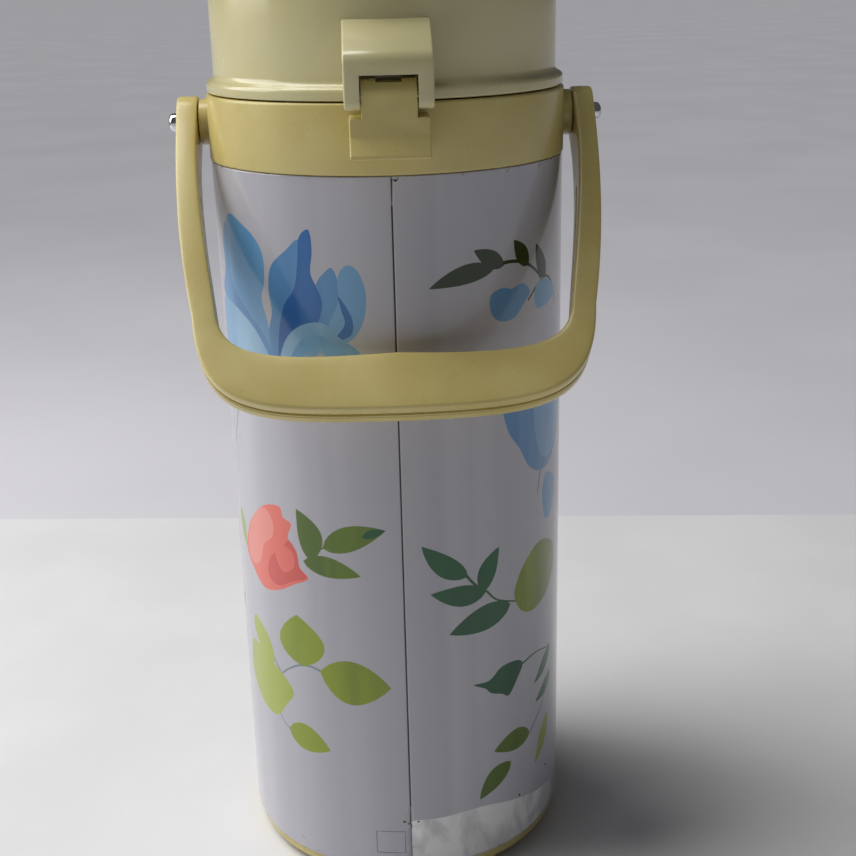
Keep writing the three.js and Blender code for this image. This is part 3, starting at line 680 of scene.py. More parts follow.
def worn_label(art):
    """A blank paper strip, its printing rubbed away, and a small empty box."""
    art.blob("paper", (-1.6, 28.7), (12, 30), (30, 30.5), (46, 27), (62, 23), (76, 20),
             (78, 12), (60, 8.6), (30, 8.6), (0, 8.6), (-2, 16))
    corners = ((-14, 15), (-2.5, 15), (-2.5, 25), (-14, 25), (-14, 15))
    for start, end in zip(corners, corners[1:]):
        art.stem("grey", 0.5, start, end)


def printed_outlines():
    """The pattern as seen from the back, and the same plants round the front."""
    art = Print()
    plants = (blue_flower, dark_sprig, hanging_petals, coral_flower, olive_branch, emerald_sprig)
    for draw in plants + (worn_label, rust_spots):
        draw(art)
    art.stem("grey", 1.0, (-74, 198), (-78, 190), (-84, 177))
    art.stem("grey", 0.9, (-80, 199), (-84, 190), (-86, 182))
    art.leaf("olive_pale", (-84, 150), (-78, 134), 6)
    art.stamp_at(GIRTH / 2)
    for draw in plants:
        draw(art)
    for side in (1, -1):
        art.stamp_at(side * GIRTH / 4 - 2)
        side_sprays(art)
    return art.outlines


# ---- steel shell
SEAM_HALF = 0.8
SEAM_DEPTH = 0.45
SHEET_EDGE = 0.12
HEM = 0.4


def inside(polygon, points):
    """Which points lie in a polygon, by counting crossings."""
    px, py = points[:, 0], points[:, 1]
    hit = np.zeros(len(points), bool)
    for (ax, ay), (bx, by) in zip(polygon, polygon[1:] + polygon[:1]):
        if ay == by:
            continue
        crosses = (ay > py) != (by > py)
        hit ^= crosses & (px < (bx - ax) * (py - ay) / (by - ay) + ax)
    return hit


def seam_profile(s):
    """How far the sheet dips at the lapped seam, and the slope of that dip."""
    distance = min(s, GIRTH - s)
    if distance >= SEAM_HALF:
        return 0.0, 0.0
    depth = SEAM_DEPTH * (1 - distance / SEAM_HALF) ** 2
    slope = 2 * SEAM_DEPTH * (1 - distance / SEAM_HALF) / SEAM_HALF
    return depth, slope if s < GIRTH / 2 else -slope


def on_sheet(outline):
    """An outline's places on the flat sheet. One that crosses the seam stops at its edge."""
    ring = [(p.x % GIRTH, min(max(p.y, SHELL_BOTTOM + 0.5), SHELL_TOP - 1)) for p in outline]
    if max(ring)[0] - min(ring)[0] <= GIRTH / 2:
        return ring
    far = [s > GIRTH / 2 for s, _ in ring]
    mostly_far = sum(far) > len(far) / 2
    stop = GIRTH - SHEET_EDGE - 0.02 if mostly_far else SHEET_EDGE + 0.02
    return [(s if is_far == mostly_far else stop, z) for (s, z), is_far in zip(ring, far)]


def rolled(s, z, inwards=0.0):
    """A place on the flat sheet, rolled up round +Z."""
    depth, _ = seam_profile(s)
    radius = SHELL_RADIUS - depth - inwards
    angle = s / SHELL_RADIUS
    return (-radius * math.sin(angle), radius * math.cos(angle), z)


def build_shell():
    """The sheet is triangulated flat, with the print's outlines as edges, then rolled up."""
    near = [SHEET_EDGE, 0.3, 0.5, SEAM_HALF, 1.6]
    middle = np.linspace(3.2, GIRTH - 3.2, 150)
    columns = near + list(middle) + [GIRTH - s for s in near[::-1]]
    rows = list(np.linspace(SHELL_BOTTOM, SHELL_TOP - HEM, 30))
    flat = [Vector((s, z)) for z in rows for s in columns]
    edges = []
    outlines = [(ink, on_sheet(outline)) for ink, outline in printed_outlines()]
    for _, ring in outlines:
        first = len(flat)
        flat.extend(Vector(p) for p in ring)
        edges.extend((first + i, first + (i + 1) % len(ring)) for i in range(len(ring)))
    coords, _, triangles, *_ = delaunay_2d_cdt(flat, edges, [], 0, 1e-4, False)
    centres = np.array([[sum(coords[i][k] for i in t) / 3 for k in (0, 1)] for t in triangles])
    inks = np.zeros(len(triangles), int)
    for ink, ring in outlines:
        inks[inside(ring, centres)] = INK_INDEX[ink]
    inks[np.minimum(centres[:, 0], GIRTH - centres[:, 0]) < 0.3] = INK_INDEX["seam"]
    verts = [rolled(s, z) for s, z in coords]
    faces = [tuple(reversed(t)) for t in triangles]
    slots = list(inks)

    # the hem and the inner wall, then the seam's edges and floor, close the sheet into a solid
    wall = 0.5
    path = [(0.0, SHELL_TOP - HEM), (0.14, SHELL_TOP - 0.1), (wall, SHELL_TOP),
            (wall, SHELL_BOTTOM), (0.0, SHELL_BOTTOM)]
    start, count = len(verts), len(path)
    for s in columns:
        verts.extend(rolled(s, z, inwards) for inwards, z in path)
    for k in range(len(columns)):
        a, b = start + k * count, start + (k + 1) % len(columns) * count
        for i in range(count - 1):
            faces.append((a + i, a + i + 1, b + i + 1, b + i))
            slots.append(INK_INDEX["bare" if b > a else "seam"])
    start = len(verts)
    for z in rows:
        verts += [rolled(columns[0], z), rolled(columns[-1], z)]
    for a in range(start, len(verts) - 2, 2):
        faces.append((a, a + 1, a + 3, a + 2))
        slots.append(INK_INDEX["seam"])

    mesh = mesh_from("printed_shell", verts, faces, slots)
    for material in INKS.values():
        mesh.materials.append(material)
    show(mesh, "body_shell", crease=40)
    roll_normals(mesh)


def roll_normals(mesh):
    """Normals of a true cylinder on the outer face, so that the triangles don't show."""
    normals = np.zeros((len(mesh.loops), 3))
    for polygon in mesh.polygons:
        outwards = Vector((polygon.center.x, polygon.center.y, 0)).normalized()
        if polygon.normal.dot(outwards) < 0.5 or polygon.center.z > (SHELL_TOP - HEM) * MM:
            continue
        for loop in polygon.loop_indices:
            point = mesh.vertices[mesh.loops[loop].vertex_index].co
            out = Vector((point.x, point.y, 0)).normalized()
            s = (math.atan2(-point.x, point.y) % (2 * math.pi)) * SHELL_RADIUS
            _, slope = seam_profile(s)
            along = Vector((-out.y, out.x, 0))
            normals[loop] = (out - slope * along).normalized()
    mesh.normals_split_custom_set([tuple(n) for n in normals])


# ---- foot, base and inside
def build_base():
    """The non-slip pad, the turntable, the cream ring, the screwed cap and the cushion."""
    pad = span("nonslip_pad")[1]
    grooves = []
    for radius in range(46, 10, -6):
        grooves += [(radius, 0, 0.3), (radius - 1, 0.6, 0.3), (radius - 2, 0, 0.3)]
    lathe("nonslip_pad", DARK_RUBBER,
          [(0, pad.z), (pad.x, pad.z, 0.4), (pad.x, 0, 0.5)] + grooves + [(0, 0)])

    low, high = span("turntable")
    plate_top, stem, head = 3.6, 4.6, 5.8
    lathe("turntable", INNER, [
        (0, low.z), (high.x, low.z, 0.3), (high.x, plate_top, 0.8), (stem + 6, plate_top, 0.4),
        (stem, plate_top + 0.2, 0.5), (stem, high.z - 2.6), (head, high.z - 2.6, 0.2),
        (head, high.z - 1.6, 0.4), (stem, high.z, 0.4), (0, high.z)])

    low, high = span("base_ring")
    inner, collar, floor = 56, 2, low.z + 3
    lathe("base_ring", CREAM, [
        (inner, low.z, 0.4), (high.x, low.z, 1.6), (high.x, high.z, 0.3),
        (high.x - collar, high.z, 0.3), (high.x - collar, floor, 0.8),
        (inner + collar, floor, 0.8), (inner + collar, high.z, 0.3), (inner, high.z, 0.3)])

    low, high = span("bottom_cap")
    bore, wall, floor = 5, 2, 7
    ridges = []
    for radius in (24, 36, 48):
        ridges += [(radius - 1.4, low.z, 0.2), (radius - 1, low.z + 0.7, 0.2),
                   (radius + 1, low.z + 0.7, 0.2), (radius + 1.4, low.z, 0.2)]
    lathe("bottom_cap", INNER, [
        (high.x, low.z, 0.6), (high.x, high.z, 0.4), (high.x - wall, high.z, 0.4),
        (high.x - wall, floor, 0.8), (bore, floor, 0.3), (bore, low.z, 0.3)] + ridges)

    low, high = span("liner_cushion")
    lathe("liner_cushion", DARK_RUBBER, [
        (14, low.z, 0.6), (46, low.z, 2), (high.x, high.z, 1), (44, high.z, 1),
        (38, 21.7, 1), (14, 21.7, 0.6)])


def bottle(radius, bottom, shoulder_top, mouth_radius, mouth_top, dome=30):
    """Half outline of a domed bottle wall, from its bottom on the axis up to its mouth."""
    foot = arc(0, bottom + dome, radius, -90, 0, 14, dome)
    shoulder = arc(mouth_radius, shoulder_top - dome, radius - mouth_radius, 0, 90, 14, dome)
    return foot + shoulder + [(mouth_radius, mouth_top)]


def build_liner():
    """Two glass bottles, one in the other, and the gasket on their mouth."""
    glass, gap = 1.8, 5.0
    outer_radius = span("liner_outer")[1].x
    top = span("liner_inner")[1].z
    bottom, shoulder_top, mouth = 22, 268, 24
    lip = mouth + gap + 0.2
    lip_bottom = top - 4
    outside = bottle(outer_radius - gap, bottom + gap, shoulder_top - gap, mouth + glass,
                     lip_bottom)
    wall = bottle(outer_radius - gap - glass, bottom + gap + glass, shoulder_top - gap - glass,
                  mouth, top)
    lathe("liner_inner", SILVER,
          outside + [(lip, lip_bottom, 1.2), (lip, top, 1.2)] + wall[::-1], 96)
    nib, bore, length = 3.4, 2, 4
    outside = bottle(outer_radius, bottom, shoulder_top, lip, lip_bottom - 0.3)
    wall = bottle(outer_radius - glass, bottom + glass, shoulder_top - glass, lip - glass,
                  lip_bottom - 0.3)
    outside[0] = (nib, bottom)
    wall[0] = (bore, bottom + glass)
    lathe("liner_outer", SILVER,
          [(nib, bottom - length)] + outside + wall[::-1] + [(bore, bottom - length)], 96)
    low, high = span("mouth_gasket")
    inner_radius = 22
    lathe("mouth_gasket", PALE_RUBBER, [
        (inner_radius, low.z, 0.5), (high.x, low.z, 0.5), (high.x, high.z, 0.5),
        (inner_radius, high.z, 0.5)])


# ---- water pipe
PIPE = {"outer": 5, "bore": 4.2, "rise": -16, "level": 291.5, "drop": -99, "outlet": 275,
        "bend": 9}


def pipe_route():
    """Up out of the liner's mouth, level under the deck and down at the spout."""
    bend, rise, drop = PIPE["bend"], PIPE["rise"], PIPE["drop"]
    centre = PIPE["level"] - bend
    path = [(rise, centre - bend)] + arc(rise - bend, centre, bend, 0, 90, 12)
    path += arc(drop + bend, centre, bend, 90, 180, 12) + [(drop, PIPE["outlet"])]
    return [(0, y, z) for y, z in path]


def pipe_channel():
    return swept("pipe_channel", pipe_route(), PIPE["outer"] + 0.5)


def build_pipes():
    """The delivery pipe, the dip tube below it and the two rubber ends."""
    show(swept("delivery_pipe", pipe_route(), PIPE["outer"], PIPE["bore"], 40),
         "delivery_pipe", STEEL, crease=50)
    low, high = span("dip_tube")
    route = [(0, PIPE["rise"], z) for z in np.linspace(low.z, high.z, 9)]
    show(swept("dip_tube", route, high.x, 2.9, 40), "dip_tube", STEEL, crease=50)
    for node, inner in (("tube_seal", 4.0), ("spout_tip", 5.5)):
        low, high = span(node)
        seal = turned(node, [(inner, low.z, 0.3), (high.x, low.z, 0.7), (high.x, high.z, 0.5),
                             (inner, high.z, 0.3)], 64)
        show(moved(seal, (0, (low.y + high.y) / 2, 0)), node, PALE_RUBBER)


# ---- shoulder ring
def cross_hole(radius, x0, x1, y, z):
    """A round cutter or rod along X."""
    rod = turned("rod", [(0, x0), (radius, x0), (radius, x1), (0, x1)], 48)
    return moved(rod, ALONG_X, (0, y, z))


def build_shoulder():
    """The ring with its deck and neck, the hinge's knuckle and foot, two bosses and a catch."""
    recess, deck = 62.2, 2.5
    neck, neck_wall, neck_bottom, skirt_bottom = 27, 2.4, RING_LOW.z + 9, RING_LOW.z
    skirt = SHELL_RADIUS - 0.9
    ring = turned("shoulder_ring", [
        (recess + 1.4, skirt_bottom, 0.3), (skirt, skirt_bottom, 0.5), (skirt, RING_BOTTOM, 0.2),
        (RING_RADIUS, RING_BOTTOM, 0.7), (RING_RADIUS, RING_TOP, 1.1), (recess, RING_TOP, 0.6),
        (recess, DECK_TOP, 1.5), (neck, DECK_TOP, 1.2), (neck, neck_bottom, 0.6),
        (neck + neck_wall, neck_bottom, 0.6), (neck + neck_wall, DECK_TOP - deck, 1),
        (recess + 1.4, DECK_TOP - deck, 1)], 180)
    knuckle_radius, knuckle_half = 5.4, 9.1
    foot_half, foot_top, foot_bend, foot_bottom = 13.2, 305.8, 299.8, 292.9
    wall = recess + 2
    face = HINGE_Y + knuckle_radius
    knuckle = [(wall, foot_top - 2), (face, foot_top - 2)]
    knuckle += arc(HINGE_Y, HINGE_Z, knuckle_radius, 0, 180, 16)
    knuckle += [(HINGE_Y - knuckle_radius, RING_TOP), (wall, RING_TOP - 0.5)]
    foot = [(wall, foot_bottom), (RING_HIGH.y, foot_bottom), (RING_HIGH.y, foot_bottom + 1.2),
            (face, foot_bend), (face, foot_top), (wall, foot_top)]
    pieces = [slab("knuckle", knuckle, -knuckle_half, knuckle_half, 0.35),
              slab("foot", foot, -foot_half, foot_half, 0.5)]
    boss_radius, boss_root = 8.5, SHELL_RADIUS - 2
    for turn in (ALONG_X, ALONG_MINUS_X):
        boss = turned("boss", [(0, boss_root), (boss_radius, boss_root),
                               (boss_radius, BOSS_FACE, 0.7), (0, BOSS_FACE)], 72)
        pieces.append(moved(boss, turn, (0, 0, PIVOT_Z)))
    pieces.append(bar(-11, 11, -RING_RADIUS - 1.6, 2 - RING_RADIUS, 305.6, 308, 0.4))
    solid = union(ring, *pieces)
    reach = BOSS_FACE + 1
    slot_half, slot_floor = 4.2, HINGE_Z + 4.2
    solid = cut(solid, cross_hole(SCREW_BORE, 58, reach, 0, PIVOT_Z),
                cross_hole(SCREW_BORE, -reach, -58, 0, PIVOT_Z),
                cross_hole(HINGE_BORE, -16, 16, HINGE_Y, HINGE_Z), pipe_channel(),
                bar(-slot_half, slot_half, HINGE_Y - 3, HINGE_Y + 7, slot_floor, HINGE_Z + 7))
    show(solid, "shoulder_ring", CREAM)


# ---- spout
def build_spout():
    """A beak that narrows from the ring to a nozzle, with rounded upper edges."""
    low, high = span("spout_cover")
    root, tip, steps = -60, low.y + 0.3, 44
    nose_start, brow_start, throat_start, chin_start = -103, -92, -84, -104
    rings = []
    for i in range(steps + 1):
        y = root + (tip - root) * (1 - (1 - i / steps) ** 1.6)
        nose, brow, chin = (max(0, (start - y) / (start - tip))
                            for start in (nose_start, brow_start, chin_start))
        width = 17 - 7 * min((root - y) / (root - nose_start), 1)
        width *= math.sqrt(max(1 - nose ** 2, 0.002))
        throat = min(max((throat_start - y) / 10, 0), 1)
        throat = throat * throat * (3 - 2 * throat)
        bottom = high.z - 16.3 - 6 * throat + 8 * chin ** 2
        top = 302.5 - 2 * min((root - y) / 32, 1) - 12.5 * brow ** 2.2
        top = max(top, bottom + 0.4)
        section = rounded([(-width, bottom, 1.6), (width, bottom, 1.6), (width, top - 1.2, 3.4),
                           (width * 0.45, top), (-width * 0.45, top), (-width, top - 1.2, 3.4)])
        rings.append([(x, y, z) for x, z in section])
    cover = mesh_from("spout_cover", *skin(rings))
    clear = RING_RADIUS + 0.3
    ring_cutter = turned("ring_cutter", [(0, 270), (clear, 270), (clear, 310), (0, 310)], 180)
    show(cut(cover, ring_cutter, pipe_channel()), "spout_cover", CREAM, crease=40)


# ---- handle
def cubic(a, b, c, d, t):
    """A point of a cubic Bezier curve."""
    a, b, c, d = (Vector(p) for p in (a, b, c, d))
    return (1 - t) ** 3 * a + 3 * t * (1 - t) ** 2 * b + 3 * t * t * (1 - t) * c + t ** 3 * d


ARM_SIDE = [cubic((0, BAIL_TOP), (-40, 9.2), (-70, 7.8), (-96, BAIL_GRIP_HALF), i / 24)
            for i in range(25)]


def half_thickness(z):
    """Half the handle's thickness at a height along its arms."""
    if z >= 0:
        return math.sqrt(max(BAIL_TOP ** 2 - z * z, 0.01))
    return float(np.interp(-z, [-p.x for p in ARM_SIDE], [p.y for p in ARM_SIDE]))


def bail_stations():
    """Pairs of inner and outer points, from the top of the +X arm to the middle of the grip."""
    pairs = []
    for i in range(14):
        angle = HALF_PI * (1 - i / 14) * 0.97
        z = BAIL_TOP * math.sin(angle)
        chamfer = max(0, (z - BAIL_TOP + 4) / 4)
        pairs.append((Vector((BAIL_INNER, z)), Vector((BAIL_HALF_WIDTH - 2 * chamfer ** 2, z))))
    inner_end, outer_end = -16, -8
    for i in range(5):
        share = i / 5
        pairs.append((Vector((BAIL_INNER, inner_end * share)),
                      Vector((BAIL_HALF_WIDTH, outer_end * share))))
    grip_top = -BAIL_REACH + BAIL_BAR
    inner_corner, outer_corner = (62.4, grip_top + 18), (70.6, -88)
    for i in range(28):
        t = i / 28
        inner = cubic((BAIL_INNER, inner_end), (69.8, -42), (66, -62), inner_corner, t)
        outer = cubic((BAIL_HALF_WIDTH, outer_end), (77.8, -40), (75.2, -66), outer_corner, t)
        pairs.append((inner, outer))
    for i in range(41):
        t = i / 40
        inner = cubic(inner_corner, (60, grip_top), (46, grip_top - 2.2), (0, grip_top), t)
        outer = cubic(outer_corner, (68, 1.8 - BAIL_REACH), (50, 0.3 - BAIL_REACH),
                      (0, -BAIL_REACH), t)
        pairs.append((inner, outer))
    return pairs


def bail_sweep(name, section, stations):
    """Sweeps a section, given across the bail and through it, along both halves."""
    rings = []
    for side in (1, -1):
        for inner, outer, *rest in (stations if side == 1 else stations[-2::-1]):
            width = (outer - inner).length
            half = (half_thickness(inner.y) + half_thickness(outer.y)) / 2
            ring = []
            for across, y in section(width, half, *rest):
                point = inner + (outer - inner) * (across / width)
                ring.append((side * point.x, y, point.y))
            rings.append(ring)
    mesh = mesh_from(name, *skin(rings))
    return moved(mesh, Matrix.Rotation(BAIL_ANGLE, 4, "X"), (0, 0, PIVOT_Z))


def face_edge(width, h, way):
    """A gently crowned face with soft corners, at +h or -h."""
    crown = min(0.03 * width, 0.2 * h)
    corner = min(1.5, 0.35 * h)
    side = [(width, way * (h - crown), corner), (width * 0.78, way * (h - 0.3 * crown)),
            (width * 0.5, way * h), (width * 0.22, way * (h - 0.3 * crown)),
            (0, way * (h - crown), corner)]
    return side if way > 0 else side[::-1]


def outer_section(width, h, whole):
    """The outer shell: the whole arm near the pivot, and one half of it further down."""
    if whole:
        return rounded(face_edge(width, h, -1) + face_edge(width, h, 1))
    floor = BAIL_SPLIT + 0.35
    lower = [(0, floor, 0.5), (width * 0.22, floor), (width * 0.5, floor),
             (width * 0.78, floor), (width, floor, 0.5)]
    return rounded(lower + face_edge(width, h, 1))


def inner_section(width, h):
    """The inner shell: a rebate under the outer shell and a fine line below it."""
    rebate, line = 1.1, 0.4
    top = BAIL_SPLIT
    step = top - 1.3
    return rounded(face_edge(width, h, -1) + [
        (width, step - 1.4, 0.2), (width - line, step - 1.2), (width - line, step - 0.9),
        (width, step - 0.7, 0.2), (width, step, 0.3), (width - rebate, step + 0.1),
        (width - rebate, top), (rebate, top), (rebate, step + 0.1), (0, step, 0.3),
        (0, step - 0.7, 0.2), (line, step - 0.9), (line, step - 1.2), (0, step - 1.4, 0.2)])


def build_handle():
    """The bail's outer shell, with both pivots, and the inner shell clipped into it."""
    stations = bail_stations()
    shell_top = -30
    split = next(i for i, (inner, outer) in enumerate(stations)
                 if (inner.y + outer.y) / 2 < shell_top)
    outer_rows = [(a, b, True) for a, b in stations[:split + 1]]
    outer_rows += [(a, b, False) for a, b in stations[split:]]
    outer = bail_sweep("handle_outer", outer_section, outer_rows)
    gap = Vector((0, -0.3))
    inner_rows = [(stations[split][0] + gap, stations[split][1] + gap)] + stations[split + 1:]
    inner = bail_sweep("handle_inner", inner_section, inner_rows)
    outer = cut(outer, cross_hole(SCREW_BORE, 60, 90, 0, PIVOT_Z),
                cross_hole(SCREW_BORE, -90, -60, 0, PIVOT_Z))
    show(outer, "handle_outer", CREAM)
    show(inner, "handle_inner", CREAM, crease=40)


def build_screws():
    """Shoulder screws: domed heads with a cross slot, on a plain shank."""
    shank, head, seat, dome, start = 2.3, 3.4, BAIL_HALF_WIDTH + 0.3, 2, 60
    slot_floor, slot_long, slot_half = SCREW_HEAD_END - 1.1, 2, 0.45
    for node, turn in (("pivot_screw_left", ALONG_MINUS_X), ("pivot_screw_right", ALONG_X)):
        screw = turned(node, [(0, start), (shank, start, 0.4), (shank, seat, 0.1),
                              (head, seat, 0.2)]
                       + arc(0, SCREW_HEAD_END - dome, head, 0, 90, 10, dome), 72)
        slots = [bar(-tall, tall, -wide, wide, slot_floor, seat + 6)
                 for wide, tall in ((slot_long, slot_half), (slot_half, slot_long))]
        show(moved(cut(screw, *slots), turn, (0, 0, PIVOT_Z)), node, CHROME)


# ---- lid
def build_lid():
    """The lid's shell: a domed can with a mouth for the push plate, a bracket and two ears."""
    inside_radius = LID_RADIUS - LID_WALL
    crown, under_radius, skirt = 12, 9.6, 11
    crown_arc = arc(LID_RADIUS - crown, LID_TOP - crown, crown, 0, 90, 10)
    under_arc = arc(inside_radius - under_radius, LID_TOP - LID_WALL - crown, under_radius,
                    0, 90, 10, crown)
    shell = turned("lid_shell", [
        (inside_radius - 1, LID_BOTTOM, 0.3), (LID_FLANGE, LID_BOTTOM, 0.9),
        (LID_FLANGE, LID_BOTTOM + 3.8, 1.8), (LID_RADIUS, LID_BOTTOM + 5.4, 2.4),
        (LID_RADIUS, LID_BOTTOM + 14)] + crown_arc + [
        (LID_MOUTH, LID_TOP, 1.2), (LID_MOUTH, LID_TOP - skirt, 0.5),
        (LID_MOUTH + LID_WALL, LID_TOP - skirt, 0.5),
        (LID_MOUTH + LID_WALL, LID_TOP - LID_WALL, 1)] + under_arc[::-1] + [
        (inside_radius, LID_BOTTOM + 3, 0.5), (inside_radius - 1, LID_BOTTOM + 3, 0.3)], 180)
    bracket_half, notch_half, notch_top = 14.6, 9.5, 319.2
    slope_top, face_y, face_top = 336, 81, 325.4
    root, hang = LID_RADIUS - 1.5, 4.4
    bracket = slab("bracket", [
        (root, slope_top), (LID_RADIUS - 0.1, slope_top), (face_y, face_top, 5),
        (face_y, HINGE_Z - hang, 3.6), (HINGE_Y - 1, HINGE_Z - hang, 1),
        (HINGE_Y - 6, LID_BOTTOM + 1), (root, LID_BOTTOM + 1)], -bracket_half, bracket_half, 0.8)
    notch = bar(-notch_half, notch_half, LID_FLANGE + 0.2, 90, 300, notch_top)
    ear_radius, ear_root, inner_ear, outer_ear = 2.8, 1.5 - LID_RADIUS, 12.4, 15
    ear = arc(LATCH_Y, LATCH_Z, ear_radius, 90, 270, 12)
    ear += [(ear_root, LATCH_Z - ear_radius - 1), (ear_root, LATCH_Z + ear_radius + 1)]
    shell = union(shell, bracket, slab("ear", ear, inner_ear, outer_ear, 0.4),
                  slab("ear", ear, -outer_ear, -inner_ear, 0.4))
    shell = cut(shell, notch, cross_hole(HINGE_BORE, -16, 16, HINGE_Y, HINGE_Z),
                cross_hole(LATCH_BORE, -16, 16, LATCH_Y, LATCH_Z))
    show(shell, "lid_shell", PALE_CREAM)


def pin(node, radius, y, z):
    """A straight pin along X with chamfered ends."""
    half = span(node)[1].x
    rod = turned(node, [(0, -half), (radius, -half, 0.4), (radius, half, 0.4), (0, half)], 40)
    show(moved(rod, ALONG_X, (0, y, z)), node, STEEL)


def build_latch():
    """Thumb lever with grip ribs, hooked under the ring's catch, and its leaf spring."""
    low, high = span("latch_lever")
    head = 2.8
    side = arc(LATCH_Y, LATCH_Z, head, 0, 180, 12) + [
        (LATCH_Y - 3.6, 314, 3), (LATCH_Y - 4.2, 308.5, 3), (LATCH_Y - 7.3, 304.6, 0.5),
        (LATCH_Y - 6, low.z, 0.5), (-69.4, 305, 0.8), (-69.4, 308.6), (-67.7, 309.4, 0.3),
        (-67.7, 315, 1), (LATCH_Y + head, 319, 1)]
    lever = slab("latch_lever", side, -high.x, high.x, 0.5)
    rib_radius, rib_half, ribs = 0.7, 8, []
    for z in (310.5, 312.9, 315.3, 317.7):
        rib = turned("rib", [(0, -rib_half), (rib_radius, -rib_half, 0.5),
                             (rib_radius, rib_half, 0.5), (0, rib_half)], 16)
        ribs.append(moved(rib, ALONG_X, (0, LATCH_Y - 3.7 + 0.03 * (z - 314), z)))
    lever = cut(union(lever, *ribs), cross_hole(LATCH_BORE, -16, 16, LATCH_Y, LATCH_Z))
    show(lever, "latch_lever", CREAM)
    low, high = span("latch_spring")
    thick, bow = 0.2, 0.2
    front = (low.y + high.y) / 2 - 0.15
    leaf = [(front + bow * math.sin(math.pi * i / 12), low.z + (high.z - low.z) * i / 12)
            for i in range(13)]
    back = [(y + thick, z) for y, z in reversed(leaf)]
    show(slab("latch_spring", leaf + back, -high.x, high.x, 0.05), "latch_spring", STEEL)


# ---- pump
def build_pump():
    """The lid's base with its gasket and port, the bellows with its spring, plate and valve."""
    low, high = span("lid_base")
    port, wall = 7, 3
    rim = LID_BOTTOM + 1
    lathe("lid_base", INNER, [
        (port, low.z, 0.4), (20, low.z, 0.3), (20.6, low.z + 0.8, 0.3), (24, low.z + 0.8, 0.3),
        (24.6, low.z, 0.3), (54, low.z, 1.2), (56, low.z + 2, 0.8), (57, rim, 0.6),
        (high.x, rim, 0.3), (high.x, high.z, 0.4), (54.6, high.z, 0.8),
        (53, low.z + wall, 1), (port, low.z + wall, 0.4)])
    low, high = span("lid_gasket")
    lathe("lid_gasket", PALE_RUBBER, [
        (28, high.z, 0.4), (28, low.z, 0.9), (30, low.z + 0.7, 0.5), (32, low.z, 0.9),
        (high.x, low.z + 0.2, 0.9), (high.x, high.z, 0.4)])
    low, high = span("air_port")
    bore = 4
    lathe("air_port", PALE_RUBBER, [
        (bore, low.z, 0.4), (bore + 1.4, low.z, 0.4), (high.x, low.z + 2.4, 0.5),
        (high.x, high.z, 0.4), (bore, high.z, 0.4)], 64)

    low, high = span("bellows")
    folds, wall, valley = 5, 1, 30.6
    samples = folds * 16
    outside = []
    for i in range(samples + 1):
        wave = 0.5 - 0.5 * math.cos(2 * math.pi * folds * i / samples)
        outside.append((valley + (high.x - valley) * wave,
                        low.z + (high.z - low.z) * i / samples))
    inside_wall = [(radius - wall, z) for radius, z in reversed(outside)]
    bellows = lathe("bellows", DARK_RUBBER, outside + inside_wall, 96)

    wire, turns, coil, flat_share = 0.8, 5.5, 20, 0.08
    first, last = low.z + wire + 0.6, high.z - wire - 0.2
    steps = int(turns * 36)
    helix = []
    for i in range(steps + 1):
        t = i / steps
        rise = min(max((t - flat_share) / (1 - 2 * flat_share), 0), 1)
        angle = 2 * math.pi * turns * t
        helix.append((coil * math.cos(angle), coil * math.sin(angle),
                      first + (last - first) * rise))
    spring = show(swept("pump_spring", helix, wire, sides=12), "pump_spring", STEEL, crease=60)
    for piece in (bellows, spring):
        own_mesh(piece)

    low, high = span("bellows_plate")
    bore, step = 5, high.z - 0.6
    lathe("bellows_plate", INNER, [
        (bore, low.z, 0.3), (high.x, low.z, 0.4), (high.x, high.z, 0.8), (30, high.z, 0.3),
        (29, step, 0.3), (16, step, 0.3), (15, high.z, 0.3), (bore, high.z, 0.3)], 96)
    low, high = span("intake_valve")
    lathe("intake_valve", DARK_RUBBER, [
        (0, low.z), (high.x, low.z, 0.3), (high.x - 0.4, high.z - 0.5, 0.4), (3, high.z, 0.4),
        (0, high.z)], 64)


def build_plunger():
    """The push plate, with a dished top and the lock's recess, and the lock slider in it."""
    high = span("push_plate")[1]
    radius, top, wall, dish = high.x, high.z, 2.6, 1.4
    under, skirt_bottom, boss_inner, boss_outer, boss_bottom = top - 4.6, 349, 8.6, 11, 349.1
    plate = turned("push_plate", [
        (boss_inner, boss_bottom, 0.2), (boss_outer, boss_bottom, 0.2), (boss_outer, under, 0.6),
        (radius - wall, under, 0.8), (radius - wall, skirt_bottom, 0.3),
        (radius, skirt_bottom, 0.3), (radius, top, 2.4), (radius - 8, top, 2),
        (radius - 12, top - dish, 2), (24, top - dish), (0, top - dish), (0, under),
        (boss_inner, under, 0.3)], 160)
    half_length, half_width, depth = 13, 5.5, 2.2
    recess = bar(-half_length, half_length, -half_width, half_width, top - dish - depth,
                 top + 2, 0.7)
    show(cut(plate, recess), "push_plate", PALE_CREAM)

    low, high = span("lock_slider")
    middle, half = (low.x + high.x) / 2, (high.x - low.x) / 2
    valley = high.z - 0.55
    outline = [(-half, low.z, 0.2), (half, low.z, 0.2), (half - 0.5, high.z - 1, 0.5)]
    for tooth in range(5):
        x = half - 1.4 - 1.5 * tooth
        outline += [(x, valley, 0.15), (x - 0.6, high.z, 0.15), (x - 1.1, valley, 0.15)]
    outline += [(-half + 0.5, high.z - 1, 0.5)]
    knob = slab("lock_slider", outline, -high.y, high.y, 0.15)
    quarter = Matrix.Rotation(-HALF_PI, 4, "Z")
    show(moved(knob, quarter, (middle, 0, 0)), "lock_slider", CREAM)


